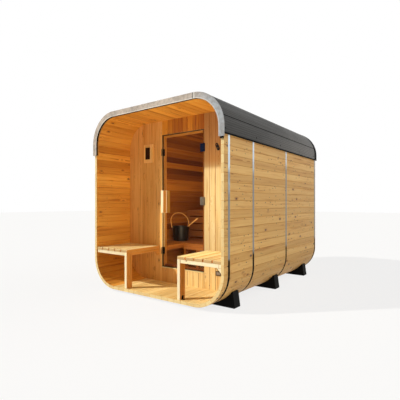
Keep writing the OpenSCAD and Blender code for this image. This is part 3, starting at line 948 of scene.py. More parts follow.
@dataclass
class StaveShell:
    """Long staves with a V at each joint, coopered round the corners and sawn flush."""

    outline: Outline
    corner_count: int = 7
    floor_count: int = 14
    wall_count: int = 16
    v_width: float = 0.003
    v_depth: float = 0.0055
    end_ease: float = 0.002

    def section(self, side: int, count: int, is_corner: bool) -> tuple[np.ndarray, np.ndarray]:
        """Cut one run of the outline into staves.

        The outer face follows the outline, the inner face is straight between the joints,
        and both meet the joints in a V.

        Args:
            side: the corner that the run is, or starts from.
            count: staves in the run.
            is_corner: whether the run is the corner itself.

        Returns:
            Points of each stave's section, clockwise seen from the front, and their places
            across and through the stave.
        """
        o = self.outline
        run = o.corner if is_corner else o.flat_side
        i = np.arange(count)
        outer_at = run(side, 0.0, i / count), run(side, 0.0, (i + 1) / count)
        inner_at = run(side, -o.thick, i / count), run(side, -o.thick, (i + 1) / count)
        width = np.linalg.norm(outer_at[1] - outer_at[0], axis=1).mean()
        v = self.v_width / width
        share = np.array([v, 0.26, 0.5, 0.74, 1 - v])
        outer = run(side, 0.0, (i[:, None] + share) / count)
        back = share[::-1]
        inner = inner_at[0][:, None] + (inner_at[1] - inner_at[0])[:, None] * back[None, :, None]
        deep = self.v_depth / o.thick
        joint = [outer_at[k] + (inner_at[k] - outer_at[k]) * d for k, d in
                 ((0, deep), (1, deep), (1, 1 - deep), (0, 1 - deep))]
        flat = np.concatenate([joint[0][:, None], outer, joint[1][:, None], joint[2][:, None],
                               inner, joint[3][:, None]], 1)[:, ::-1]
        across = np.concatenate([[0], share, [1, 1], back, [0]])[::-1] * width
        through = np.concatenate([[deep], 0 * share, [deep, 1 - deep], 0 * share + 1, [1 - deep]])[::-1] * o.thick
        return flat, np.stack([across, through], -1)

    def run(self, name: str, node: str, side: int, count: int, is_corner: bool, looks: Finishes) -> None:
        """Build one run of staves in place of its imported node.

        Args:
            name: the piece's name.
            node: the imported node.
            side: the corner that the run is, or starts from.
            count: staves in the run.
            is_corner: whether the run is the corner itself.
            looks: the finishes.
        """
        o = self.outline
        flat, place = self.section(side, count, is_corner)
        centre = flat.mean(1, keepdims=True)
        drawn = centre + (flat - centre) * 0.95
        y = np.array([o.front, o.front + self.end_ease, o.back - self.end_ease, o.back])
        shape = np.stack([drawn, flat, flat, drawn], 1)
        rings = upright(shape, y[None, :, None])
        grain = stacked(rings[..., 1], *place.T)
        inside = (place[:, 1] + np.roll(place[:, 1], -1)) / 2 > o.thick / 2
        surface = Surface().loft(rings, grain, inside.astype(int), 2)
        # floor and right-hand runs take the pale deck copy, the others the painted-shade lining copy
        within = looks.deck if name.startswith(("floor", "right", "lower_right")) else looks.shaded_lining
        surface.build(name, [looks.stave, within, looks.ends], slot="stave_wood", replaces=(node,))

    def build(self, looks: Finishes) -> None:
        """Build the eight runs of the shell."""
        for i, where in enumerate(("lower_right", "upper_right", "upper_left", "lower_left")):
            self.run(where + "_coopered_staves", where + "_corner", i, self.corner_count, True, looks)
        flats = (("right_wall", self.wall_count), ("roof", self.floor_count),
                 ("left_wall", self.wall_count), ("floor", self.floor_count))
        for i, (where, count) in enumerate(flats):
            self.run(where + "_long_staves", where + "_staves", i, count, False, looks)


@dataclass
class BoardWall:
    """Upright boards with a V at each joint, scribed to the inside of the shell."""

    outline: Outline
    board: float = 0.088
    v_width: float = 0.003
    v_depth: float = 0.005
    jamb: float = 0.036
    shade_end: float = -0.09

    def limits(self, x: np.ndarray, low: float, high: float) -> tuple[np.ndarray, np.ndarray]:
        """Return the lowest and highest z of the wall at x, inside the staves."""
        o = self.outline
        turn = np.arange(8) / 7
        top = np.concatenate([o.corner(2, -o.thick, turn[::-1]), o.corner(1, -o.thick, turn[::-1])])
        bottom = np.concatenate([o.corner(3, -o.thick, turn), o.corner(0, -o.thick, turn)])
        z_top = np.interp(x, top[:, 0], top[:, 1])
        z_bottom = np.interp(x, bottom[:, 0], bottom[:, 1])
        return np.maximum(z_bottom, low), np.minimum(z_top, high)

    def build(self, name: str, node: str, edges: np.ndarray, tones: tuple[float, float],
              finish: Material, ends: Material, joint: Material | None = None) -> None:
        """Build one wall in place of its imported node.

        Args:
            name: the piece's name.
            node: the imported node, which gives its box.
            edges: x of the board joints, from left to right, both ends included.
            tones: the deepest and the palest board tone, from 0 to 1.
            finish: of the boards' faces.
            ends: of their sawn ends.
            joint: of the V between two boards, if not that of their faces.
        """
        low, high = edges_of(node)
        a, b = edges[:-1, None], edges[1:, None]
        width = b - a
        share = np.array([0.0, 1 / 3, 2 / 3, 1.0])
        face = a + self.v_width + (width - 2 * self.v_width) * share
        x = np.concatenate([a, face, b, b, face[:, ::-1], a], 1)
        depth = np.concatenate([[self.v_depth], 0 * share, [self.v_depth]])
        y = np.concatenate([low[1] + depth, high[1] - depth])
        rings = stacked(x[:, None], y, np.stack(self.limits(x, low[2], high[2]), 1))
        grain = stacked(rings[..., 2], rings[..., 0] - a[:, None], rings[..., 1] - low[1])
        surface = Surface()
        surface.tones = tones
        surface.loft(rings, grain, 0, 1)
        surface.paint_sides(2).build(name, [finish, ends, joint or finish], slot="board_wood", replaces=(node,))

    def build_all(self, looks: Finishes) -> None:
        """Build the four parts of the porch wall and the back wall."""
        left_low, left_high = edges_of("porch_wall_left")
        right_low, right_high = edges_of("porch_wall_right")
        door_0, door_1 = left_high[0], right_low[0]
        right = np.append(np.arange(door_1, right_high[0] - 0.02, self.board), right_high[0])
        jamb = door_0 - self.jamb
        left = np.append(np.arange(jamb, left_low[0] + 0.02, -self.board), left_low[0])[::-1]
        middle = np.append(np.arange(door_1, door_0 + 0.02, -self.board), door_0)[::-1]
        every = np.concatenate([left, middle, right[1:]])
        split = int(np.searchsorted(middle, self.shade_end))
        # boards in shade take the painted-shade copies; the sill is split at shade_end into a pale part and a
        # painted-shade part
        for name, node, edges, tones, finish, joint in (
            ("porch_left_boards", "porch_wall_left", left, (0.2, 0.9), looks.shady_wall, None),
            ("door_jamb_board", "porch_wall_left", np.array([jamb, door_0]), (0.7, 0.9), looks.jamb, None),
            ("porch_right_boards", "porch_wall_right", right, (0.4, 1.0), looks.wall, looks.frame),
            ("door_head_boards", "porch_wall_head", middle, (-0.2, 1.2), looks.head, None),
            ("door_sill_boards", "porch_wall_sill", middle[split:], (0.4, 0.9), looks.wall, looks.frame),
            ("shaded_sill_boards", "porch_wall_sill", middle[:split + 1], (0.2, 0.8), looks.shady_wall, None),
            ("back_wall_boards", "back_wall", every, (0.3, 1.0), looks.shady_wall, None),
        ):
            self.build(name, node, edges, tones, finish, looks.ends, joint)


# ---------- roof, trims, hoops and cradles ----------


@dataclass
class Roof:
    """Ribbed sheets bent over the cabin: two side sheets and a top sheet that laps them."""

    outline: Outline
    boarding: float = 0.0095
    pitch: float = 0.025
    rib: float = 0.0011
    low_face: float = 0.0099
    top_face: float = 0.0114
    lap: float = 2.019
    overlap: float = 0.012
    rows: int = 8
    nail_rise: float = 0.053
    nail_y: tuple[float, ...] = (0.012, 0.678, 1.349, 2.020, 2.66)
    nail_r: float = 0.009

    def sheet(self, name: str, start: float, end: float, face: float, under: float, looks: Finishes,
              replaces: tuple[str, ...] = ()) -> None:
        """Bend one ribbed sheet over the outline.

        A point at length s of the outline stands face + rib * shape(s) outside it. Over every
        pitch, shape is 1 apart from a narrow groove where it drops to 0.

        Args:
            name: the piece's name.
            start: length along the outline where the sheet begins.
            end: length where it ends.
            face: height of the sheet's face over the outline.
            under: height of its underside.
            looks: the finishes.
            replaces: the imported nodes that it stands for.
        """
        o = self.outline
        points, normals = o.path((self.lower_edge(),) * 2, 1.5)
        length = lengths(points)
        ribs = round((end - start) * length[-1] / self.pitch)
        share = np.array([0.0, 0.10, 0.40, 0.70, 0.88, 0.94])
        shape = np.array([0.45, 1.0, 0.92, 1.0, 0.45, 0.0])
        s = start + (end - start) * np.append((np.arange(ribs)[:, None] + share).ravel(), ribs) / ribs
        s, count = s * length[-1], 6 * ribs + 1
        at, out = at_lengths(s, length, points), at_lengths(s, length, normals)
        out /= np.linalg.norm(out, axis=1, keepdims=True)
        wave = np.append(np.tile(shape, ribs), 1.0)
        low, high = edges_of("roof_covering")
        y = np.linspace(low[1], high[1], self.rows)
        wander = RNG.normal(0, 0.00012, (count, self.rows))
        lift = face + self.rib * wave[:, None] + wander
        outer = np.concatenate([lift, np.full((count, 2), under)], 1)
        flat = at[:, None, :] + out[:, None, :] * outer[..., None]
        ys = np.concatenate([y, [y[-1], y[0]]])
        rings = upright(flat, ys)
        # rib grooves take the darker groove finish as painted shade; the end strips of each sheet take the black
        # edge, a painted shadow line at the laps
        deep = np.tile([0, 0, 0, 0, 1, 1], ribs)
        deep[[0, 1, -3, -2, -1]] = 2
        Surface().loft(rings[None], None, deep[:, None]).build(
            name, [looks.roof, looks.groove, looks.edge], slot="roof_sheet", replaces=replaces, smooth=40)

    def boards(self, looks: Finishes) -> None:
        """Build the boarding under the sheets and the strips that carry the front channel."""
        o = self.outline
        low, high = edges_of("roof_boarding")
        trim_low, trim_high = edges_of("front_edge_trim")
        t, inner = EdgeTrims.sheet, EdgeTrims.inner
        skin = [(0.0015, low[1]), (self.boarding, low[1]), (self.boarding, high[1]), (0.0015, high[1])]
        surface = o.sweep(Surface(), skin, (self.lower_edge(),) * 2)
        feet = (trim_low[2] + EdgeTrims.left_drop, trim_low[2])
        packing = [(t - inner, low[1]), (0.001, low[1]), (0.001, o.front - 0.0005), (t - inner, o.front - 0.0005)]
        o.sweep(surface, packing, feet)
        ledge = [(t - inner, o.front), (-o.thick - 0.0005, o.front), (-o.thick - 0.0005, trim_high[1] - 0.001),
                 (t - inner, trim_high[1] - 0.001)]
        o.sweep(surface, ledge, feet)
        surface.build("roof_boards", [looks.batten], slot="roof_board", replaces=("roof_boarding",))

    def lower_edge(self) -> float:
        """Return the height of the covering's lower edge."""
        return float(edges_of("roof_covering")[0][2])

    def build(self, looks: Finishes) -> None:
        """Build the three sheets, their nails and the finish of the boarding under them."""
        points, _ = self.outline.path((self.lower_edge(),) * 2, 1.5)
        length = lengths(points)
        half = len(points) // 2
        lap = float(np.interp(self.lap, points[:half, 1], length[:half])) / length[-1]
        reach = self.overlap / length[-1]
        self.sheet("right_side_sheet", 0.0, lap + reach, self.low_face, self.boarding, looks)
        self.sheet("left_side_sheet", 1 - lap - reach, 1.0, self.low_face, self.boarding, looks)
        self.sheet("top_sheet", lap, 1 - lap, self.top_face, self.low_face + self.rib, looks, ("roof_covering",))
        nails = Surface()
        x = self.outline.half_w + self.low_face + self.rib
        for side in (1, -1):
            at = [(side * x, self.outline.front + y, self.lower_edge() + self.nail_rise) for y in self.nail_y]
            screw_heads(nails, at, (side, 0, 0), self.nail_r)
        nails.build("roof_nails", [looks.edge], slot="edge_black", smooth=40)
        self.boards(looks)
        finishes = frame["nodes"]["drip_edges"].data.materials
        finishes.clear()
        finishes.append(looks.edge)


@dataclass
class EdgeTrims:
    """Folded channels over the front and the back of the roof."""

    outline: Outline
    sheet: float = 0.002
    inner: float = 0.054
    outer: float = 0.0145
    front_lip: float = 0.010
    back_flange: float = 0.090
    left_drop: float = 0.036
    proud: float = 0.0008
    fold: float = 0.012
    lip_share: float = 0.62
    ease: float = 0.0007
    joint_x: float = 0.020
    joint_lap: tuple[float, float] = (-0.016, 0.008)
    joint_gap: float = 0.007
    screw_shares: tuple[float, ...] = (0.06, 0.155, 0.31, 0.332, 0.5, 0.69, 0.85, 0.94)

    def front(self, looks: Finishes) -> None:
        """Build the galvanised channel with its seams and screws, and its inner lip, black as painted shade."""
        low, high = edges_of("front_edge_trim")
        y0, y1 = low[1] + self.proud, high[1]
        t, a, b, e = self.sheet, -self.inner, self.outer, self.ease
        face = [(b - t, y0 + t), (b - t, y0 + self.front_lip), (b, y0 + self.front_lip), (b, y0 + e), (b - e, y0),
                (a + self.fold, y0), (a + e, y0), (a, y0 + e), (a, y0 + t)]
        feet = (low[2] + self.left_drop, low[2])
        # the inner fold takes the paler fold finish, a painted highlight
        self.outline.sweep(surface := Surface(), face[::-1], feet, side=np.array([1, 1, 1, 0, 0, 0, 0, 0, 0]))
        surface.build("front_trim_channel", [looks.zinc, looks.fold], slot="trim_zinc",
                      replaces=("front_edge_trim",), smooth=25)
        # the inner lip is black, painted shade inside the arch
        y1 = y0 + (y1 - y0) * self.lip_share
        lip = [(a, y0 + t), (a + t, y0 + t), (a + t, y1), (a, y1)]
        self.outline.sweep(surface := Surface(), lip, feet)
        surface.build("front_trim_lip_painted_shade", [looks.edge], slot="edge_black", smooth=25)
        self.seams(feet, y0, looks)

    def seams(self, feet: tuple[float, float], y: float, looks: Finishes) -> None:
        """Add the lapped joint near the right corner and the screws of the channel, and a near-black block under
        the right-hand foot as a painted shadow.
        """
        path, normal = self.outline.path(feet)
        length = lengths(path)
        middle = (self.outer - self.inner) / 2
        spots = np.array(self.screw_shares) * length[-1]
        heads = upright(at_lengths(spots, length, path + normal * middle), y)
        surface = screw_heads(Surface(), heads + (0, 0.0012, 0), (0, -1, 0), 0.0075)
        surface.build("trim_screws", [looks.hinge], slot="trim_zinc", smooth=40)
        x, top = self.outline.flat + self.joint_x, float(path[:, 1].max())
        z0, z1 = top - self.inner + 0.001, top + self.outer - 0.001
        gap, left, right = x + self.joint_lap[0] - self.joint_gap, x + self.joint_lap[0], x + self.joint_lap[1]
        # the lap plate takes the paler fold finish as a painted highlight; the gap beside it is black
        lap = timbers(Surface(), (left, y - self.proud, z0), (right, y, z1), Axis.Z, 0.0003, 0)
        timbers(lap, (gap, y - self.proud / 2, z0), (left, y, z1), Axis.Z, 0.0, 1)
        lap.paint(1, high=(left + 0.0005, FAR, FAR))
        lap.build("trim_joint", [looks.fold, looks.black], slot="trim_zinc")
        # near-black packing block under the right-hand foot: painted shadow of the channel
        x = float(path[0, 0])
        foot = timbers(Surface(), (x - 0.040, y + 0.004, feet[0] - 0.020), (x - 0.002, y + 0.060, feet[0] + 0.01),
                       Axis.Y, 0.001, 0)
        foot.build("trim_foot_packing_painted_shadow", [looks.cradle], slot="roof_board")

    def back(self, looks: Finishes) -> None:
        """Build the black channel over the back edge."""
        low, high = edges_of("back_edge_trim")
        y, t, b, e = high[1], self.sheet, self.outer, self.ease
        face = [(0.0, y - t), (b - t, y - t), (b - t, y - self.back_flange), (b, y - self.back_flange),
                (b, y - e), (b - e, y), (0.0, y)]
        self.outline.sweep(surface := Surface(), face, (low[2], low[2]))
        surface.build("back_trim_channel", [looks.edge], slot="edge_black", replaces=("back_edge_trim",), smooth=25)

    def build(self, looks: Finishes) -> None:
        """Build both channels."""
        self.front(looks)
        self.back(looks)


@dataclass
class Hoops:
    """Flat steel bands round the shell."""

    outline: Outline
    names: tuple[str, ...] = ("front_hoop", "porch_hoop", "middle_hoop", "back_hoop")
    thick: float = 0.0015

    def build(self, looks: Finishes) -> None:
        """Carry the band's section, eased at its edges, right round the outline."""
        for name in self.names:
            low, high = edges_of(name)
            e, t = 0.0005, self.thick
            face = [(0.0001, low[1]), (t - e, low[1]), (t, low[1] + e), (t, high[1] - e), (t - e, high[1]),
                    (0.0001, high[1])]
            self.outline.sweep(surface := Surface(), face)
            surface.build(name + "_band", [looks.steel], slot="hoop_steel", replaces=(name,), smooth=30)


@dataclass
class Cradles:
    """Black timber beams hollowed to the shell, their ends sloped."""

    outline: Outline
    names: tuple[str, ...] = ("front_cradle", "middle_cradle", "back_cradle")
    slope: float = 0.024
    ease: float = 0.004

    def build(self, looks: Finishes) -> None:
        """Carry the beam's side view along y, drawn in a little at both faces."""
        o = self.outline
        for name in self.names:
            low, high = edges_of(name)
            half = high[0]
            x, z, _ = o.corners[0]
            reach = math.asin((z - high[2]) / o.radius)
            turn = np.linspace(-math.pi / 2, -reach, 14)
            right = np.stack([x + o.radius * np.cos(turn), z + o.radius * np.sin(turn)], -1)
            left = right[::-1] * (-1, 1)
            e = self.ease
            ends = np.array([[half - self.slope - e, high[2]], [half - self.slope, high[2] - e],
                             [half, low[2] + e], [half - e, low[2]]])
            loop = np.concatenate([right, ends, ends[::-1] * (-1, 1), left])
            middle = loop.mean(0)
            drawn = loop + np.sign(middle - loop) * (e * 0.6, 0) * (np.abs(loop[:, :1]) > half - 0.05)
            y = np.array([low[1], low[1] + e * 0.6, high[1] - e * 0.6, high[1]])
            rings = upright(np.stack([drawn, loop, loop, drawn]), y[:, None])
            Surface().loft(rings[None]).build(name + "_beam", [looks.cradle], slot="cradle_black", replaces=(name,))


# ---------- benches ----------


@dataclass
class PorchBench:
    """A slatted seat on an open frame with one leg, against the side wall."""

    side: int
    slats: int = 5
    gap: float = 0.012
    rail_h: float = 0.040
    rail_t: float = 0.034
    leg_w: float = 0.040
    leg_d: float = 0.090
    gusset: float = 0.060
    setback: float = 0.006
    screw_y: tuple[float, float] = (0.025, 0.020)
    bracket: Triple = (0.002, 0.030, 0.042)

    def mirrored(self, low: np.ndarray, high: np.ndarray) -> tuple[np.ndarray, np.ndarray]:
        """Return a left-hand box, or its mirror image for the right-hand bench."""
        if self.side < 0:
            return low, high
        flip = np.array([-1.0, 1.0, 1.0])
        a, b = low * flip, high * flip
        return np.minimum(a, b), np.maximum(a, b)

    def build(self, looks: Finishes) -> None:
        """Build the slats, then the rails, leg and gusset."""
        name = "left" if self.side < 0 else "right"
        seat_low, seat_high = edges_of(name + "_bench_seat")
        frame_low, _ = edges_of(name + "_bench_frame")
        wall, inner = (seat_low[0], seat_high[0]) if self.side < 0 else (-seat_high[0], -seat_low[0])
        y0, y1, top = seat_low[1], seat_high[1], seat_low[2]
        width = (inner - wall - (self.slats - 1) * self.gap) / self.slats
        x = wall + np.arange(self.slats) * (width + self.gap)
        corners = self.mirrored(stacked(x, y0, top), stacked(x + width, y1, seat_high[2]))
        surface = timbers(Surface(), *corners, Axis.Y, 0.004)
        # slat sides take bench_side_painted_shade: painted shade in the gaps between the slats
        surface.paint_sides(2).build(
            name + "_seat_slats", [looks.bench, looks.pale_ends, looks.shaded], slot="bench_wood",
            replaces=(name + "_bench_seat",))
        self.frame(name, wall, inner, y0, y1, top, frame_low[2], looks)
        heads = np.array([[x[i] + width * share, y, seat_high[2]] for i in range(self.slats)
                          for share in (0.25, 0.75) for y in (y0 + self.screw_y[0], y1 - self.screw_y[1])])
        heads[:, 0] *= -self.side
        surface = screw_heads(Surface(), heads, UP, 0.0035)
        surface.build(name + "_seat_screws", [looks.hinge], slot="hinge_steel", smooth=40)

    def frame(self, name: str, wall: float, inner: float, y0: float, y1: float, top: float, foot: float,
              looks: Finishes) -> None:
        """Build the frame under a seat.

        Args:
            name: left or right.
            wall: x of the side wall, for the left-hand bench.
            inner: x of the free edge.
            y0: front of the seat.
            y1: the porch wall.
            top: underside of the seat.
            foot: the porch floor.
            looks: the finishes.
        """
        low, t = top - self.rail_h, self.rail_t
        rail_y = y0 + self.setback
        surface = Surface()
        across = [((wall + t, rail_y, low), (inner - self.leg_w, rail_y + t, top)),
                  ((wall + t, y1 - t, low), (inner - t, y1, top))]
        along = [((wall, rail_y, low), (wall + t, y1, top)),
                 ((inner - t, y0 + self.leg_d, low), (inner, y1, top))]
        posts = [((inner - self.leg_w, y0, foot), (inner, y0 + self.leg_d, top))]
        joinery(surface, {Axis.X: across, Axis.Y: along, Axis.Z: posts}, 0.003, place=self.mirrored)
        g = self.gusset
        if self.side < 0:
            rings = np.array([[(x, y1, low - g), (x, y1, low), (x, y1 - g, low)] for x in (inner - t, inner)])
            # the left gusset takes bench_side_painted_shade all over, as painted shade
            surface.loft(rings[None], rings[None][..., [1, 0, 2]], 2, 2)
        else:
            points = [[wall, low - g], [wall + g, low], [wall, low]]
            self.wedge(surface, np.array(points), rail_y, rail_y + t)
        # faces that look right take bench_side_painted_shade as painted shade, faces to the front the pale copy as
        # painted light
        surface.paint(2, (-FAR, -FAR, foot + 0.001), (FAR, FAR, top), (1, 0, 0))
        surface.paint(3, (-FAR, -FAR, foot + 0.001), (FAR, rail_y + 0.001, top), (0, -1, 0))
        surface.build(name + "_bench_rails", [looks.bench, looks.pale_ends, looks.shaded, looks.sunlit_fronts],
                      slot="bench_wood", replaces=(name + "_bench_frame",))
        x, (t, w, h) = inner - self.leg_w, self.bracket
        plates = [((x - t, y0 + w, foot), (x, y0 + 2 * w, foot + h)),
                  ((x - w, y0 + w, foot), (x - t, y0 + 2 * w, foot + t))]
        joinery(Surface(), {Axis.Z: plates}, 0.0006, 0, self.mirrored).build(
            name + "_foot_bracket", [looks.black], slot="fitting_black")

    def wedge(self, surface: Surface, points: np.ndarray, y0: float, y1: float) -> None:
        """Add a three-cornered block, its corners in x and z, carried from y0 to y1."""
        flat = points * (-self.side, 1)
        area = np.linalg.det(flat[1:] - flat[0])
        flat = flat[::-1] if area > 0 else flat
        rings = np.stack([upright(flat, y) for y in (y0, y1)])
        surface.loft(rings[None], rings[None][..., [0, 2, 1]])


@dataclass
class CabinBenches:
    """The lower L-shaped bench and the upper bench with its riser, inside the cabin."""

    gap: float = 0.012
    thick: float = 0.026
    post: float = 0.045
    apron_h: float = 0.070
    apron_t: float = 0.028
    rail_h: float = 0.040
    slat_count: int = 6
    side_count: int = 4
    lower_depth: float = 0.705
    side_x: float = -0.500
    leg_x: float = 0.290
    riser_t: float = 0.020
    riser_h: float = 0.102
    riser_pitch: float = 0.122
    riser_count: int = 4
    side_foot: float = 0.411

    def build(self, looks: Finishes) -> None:
        """Build both benches."""
        finish = [looks.frame, looks.ends]
        lo, hi = edges_of("lower_bench_seat")
        up_lo, up_hi = edges_of("upper_bench_seat")
        wall, y_cabin = hi[0], lo[1]
        y_lower = up_lo[1] - self.lower_depth
        surface = self.slats(y_lower, up_lo[1] - self.riser_t, wall, lo[2], hi[2])
        x = self.laid(-wall, self.side_x, self.side_count)
        timbers(surface, stacked(x[0], y_cabin, lo[2]), stacked(x[1], y_lower - self.gap, hi[2]), Axis.Y, 0.004)
        surface.build("lower_seat_slats", finish, slot="frame_wood", replaces=("lower_bench_seat",))
        self.lower_frame(wall, y_cabin, y_lower, up_lo[1], lo[2], looks)
        surface = self.slats(up_lo[1], up_hi[1], wall, up_lo[2], up_hi[2])
        surface.build("upper_seat_slats", finish, slot="frame_wood", replaces=("upper_bench_seat",))
        self.upper_frame(wall, up_lo[1], up_hi[1], up_lo[2], up_hi[2], looks)

    def laid(self, start: float, end: float, count: int) -> tuple[np.ndarray, np.ndarray]:
        """Return the two edges of count slats laid between start and end with equal gaps."""
        width = (end - start - (count - 1) * self.gap) / count
        first = start + np.arange(count) * (width + self.gap)
        return first, first + width

    def slats(self, y0: float, y1: float, wall: float, z0: float, z1: float) -> Surface:
        """Return slats from wall to wall, laid from y0 to y1."""
        y = self.laid(y0, y1, self.slat_count)
        return timbers(Surface(), stacked(-wall, y[0], z0), stacked(wall, y[1], z1), Axis.X, 0.004)

    def lower_frame(self, wall: float, y_cabin: float, y0: float, y1: float, top: float,
                    looks: Finishes) -> None:
        """Build aprons, rails and legs under the lower seat."""
        t, p, r, side_x = self.apron_t, self.post, self.rail_h, self.side_x
        floor = edges_of("lower_bench_frame")[0][2]
        across = [((side_x - t, y0, top - self.apron_h), (wall, y0 + t, top)),
                  ((-wall, y_cabin, top - r), (side_x, y_cabin + t, top))]
        along = [((side_x - t, y_cabin + t, top - r), (side_x, y0, top)),
                 ((-wall, y_cabin + t, top - r), (t - wall, y1, top)),
                 ((wall - t, y0 + t, top - r), (wall, y1, top))]
        legs = [((x, y0 + t, floor), (x + p, y0 + t + p, top)) for x in (side_x - t, -self.leg_x, self.leg_x)]
        joinery(Surface(), {Axis.X: across, Axis.Y: along, Axis.Z: legs}, 0.003).build(
            "lower_bench_rails", [looks.frame, looks.ends], slot="frame_wood", replaces=("lower_bench_frame",))

    def upper_frame(self, wall: float, y0: float, y1: float, under: float, top: float, looks: Finishes) -> None:
        """Build the riser of boards and the posts and bearers behind it."""
        z = top - self.riser_h - np.arange(self.riser_count) * self.riser_pitch
        surface = timbers(Surface(), stacked(-wall, y0 - self.riser_t, z), stacked(wall, y0, z + self.riser_h),
                          Axis.X, 0.003)
        p = self.post
        floor = edges_of("upper_bench_frame")[0][2]
        starts = np.array([-wall, -p / 2, wall - p])
        feet = np.array([self.side_foot, floor, self.side_foot])
        posts = stacked(starts, y0, feet)
        timbers(surface, posts, posts + stacked(p, p, under - feet), Axis.Z)
        bearers = stacked(starts, y0 + p, under - p)
        timbers(surface, bearers, bearers + (p, y1 - y0 - p, p), Axis.Y)
        surface.build("upper_bench_riser", [looks.frame, looks.ends], slot="frame_wood",
                      replaces=("upper_bench_frame",))


# ---------- door ----------


@dataclass
class Door:
    """Glass leaf with three hinges, two handle blocks, the stop, seal, sill and catches."""

    seal_w: float = 0.009
    seal_t: float = 0.0022
    ease: float = 0.0012
    knuckle_r: float = 0.008
    pin_r: float = 0.004
    hinge_h: float = 0.104
    catch_h: float = 0.094
    stop_w: float = 0.034
    corner_r: float = 0.003
    chamfer: float = 0.003
    groove_r: float = 0.013
    groove_turn: float = 76.7
    groove_place: tuple[float, float] = (-0.003, 0.019)
    inner_grip_w: float = 0.034
    clamp_w: float = 0.062
    knuckle_ease: float = 0.001

    def stop(self, looks: Finishes) -> None:
        """Build the stop round the opening, its rubber seal, and the rubber along the jambs, pale on the left jamb
        between the catch and the handle as painted light.
        """
        low, high = edges_of("door_frame")
        stop = window(Surface(), low, high, self.stop_w, 0.002, 0)
        w = self.stop_w + 0.001
        stop.paint(1, low=(high[0] - w, -FAR, -FAR)).paint(1, high=(FAR, FAR, low[2] + w))
        bottom, top = edges_of("jamb_catches")[0][2] + self.catch_h, edges_of("door_handle")[0][2]
        # pale cover on the left stile between the catch and the handle: painted light
        timbers(stop, (low[0] + self.seal_w + 0.001, low[1] - 0.0006, bottom),
                (low[0] + self.stop_w - 0.001, low[1] + 0.001, top), Axis.Z, 0.0005)
        stop.paint(2, (-FAR, -FAR, bottom), (low[0] + w, FAR, top))
        stop.build("door_stop_frame", [looks.surround, looks.frame, looks.sunlit_fronts], slot="frame_wood",
                   replaces=("door_frame",))
        seal_low, seal_high = low.copy(), high.copy()
        seal_low[1], seal_high[1] = low[1] - self.seal_t, low[1]
        rubber = window(Surface(), seal_low, seal_high, self.seal_w, 0.0008, 0)
        jamb_low, jamb_high = low.copy(), high.copy()
        jamb_low[1], jamb_high[1] = edges_of("porch_wall_sill")[0][1] + 0.003, seal_low[1]
        window(rubber, jamb_low, jamb_high, 0.002, 0.0005, 0)
        # pale strips over the jamb rubber and the seal at the same heights: painted light
        timbers(rubber, (low[0] + 0.001, jamb_low[1], bottom), (low[0] + 0.003, jamb_high[1], top),
                Axis.Z, 0.0004)
        timbers(rubber, (low[0] + 0.0022, seal_low[1] - 0.0003, bottom), (low[0] + self.seal_w, low[1], top),
                Axis.Z, 0.0003)
        rubber.paint(1, (low[0], -FAR, bottom), (low[0] + 0.01, FAR, top))
        rubber.build("door_seal", [looks.rubber, looks.sunlit_fronts], slot="fitting_black")
        glass_low, _ = edges_of("door_glass")
        wall_y = edges_of("porch_wall_sill")[0][1]
        top = glass_low[2] - 0.0055
        strip = timbers(Surface(), (low[0], wall_y - 0.006, top - 0.013), (high[0], wall_y, top), Axis.X, 0.0015, 0)
        strip.build("sill_strip", [looks.bench], slot="frame_wood")

    def leaf(self, looks: Finishes) -> None:
        """Build the pane: its outline carried through its thickness, the ground edges a finish of their own."""
        low, high = edges_of("door_glass")
        middle, half = (low + high) / 2, (high - low) / 2
        e = self.ease
        rows = []
        for y, draw in ((low[1], e), (low[1] + e, 0.0), (high[1] - e, 0.0), (high[1], e)):
            flat = round_section(half[None, [0, 2]] - draw, self.corner_r)[0, ::-1] + middle[[0, 2]]
            rows.append(upright(flat, y))
        rings = np.stack(rows)[None]
        Surface().loft(rings, rings[..., [2, 0, 1]], 1, 0).build(
            "glass_leaf", [looks.glass, looks.glass_edge], Body.DOOR, "door_glass", ("door_glass",))

    def handle_block(self, surface: Surface, x0: float, x1: float, y0: float, y1: float, z0: float,
                     z1: float) -> None:
        """Add one grip: a block whose long sides are hollowed near the glass by a quarter-round groove.

        Args:
            surface: what is added to.
            x0: left side.
            x1: right side.
            y0: the face on the glass.
            y1: the face in the hand, which may lie on either side of y0.
            z0: foot.
            z1: top.
        """
        way = 1 if y1 > y0 else -1
        depth = abs(y1 - y0)
        turn = np.radians(np.linspace(-self.groove_turn, self.groove_turn, 9))
        groove = self.groove_place + self.groove_r * stacked(np.cos(turn), np.sin(turn))
        cut = self.chamfer
        left = np.concatenate([[[0, 0]], groove, [[0, depth - cut], [cut, depth]]])
        right = left[::-1] * (-1, 1) + (x1 - x0, 0)
        flat = np.concatenate([left, right])
        flat = (x0, y0) + flat * (1, way)
        flat = flat[::-1] if way > 0 else flat
        middle = flat.mean(0)
        drawn = middle + (flat - middle) * 0.93
        rows = ((drawn, z0), (flat, z0 + cut), (flat, z1 - cut), (drawn, z1))
        rings = np.stack([stacked(*f.T, z) for f, z in rows])
        surface.loft(rings[None], rings[None][..., [2, 0, 1]], 0, 1)

    def handle(self, looks: Finishes) -> None:
        """Build the outside and the inside grip and the bolts between them."""
        low, high = edges_of("door_handle")
        glass_low, glass_high = edges_of("door_glass")
        surface = Surface()
        self.handle_block(surface, low[0], high[0], glass_low[1], low[1], low[2], high[2])
        self.handle_block(surface, high[0] - self.inner_grip_w, high[0], glass_high[1], high[1], low[2], high[2])
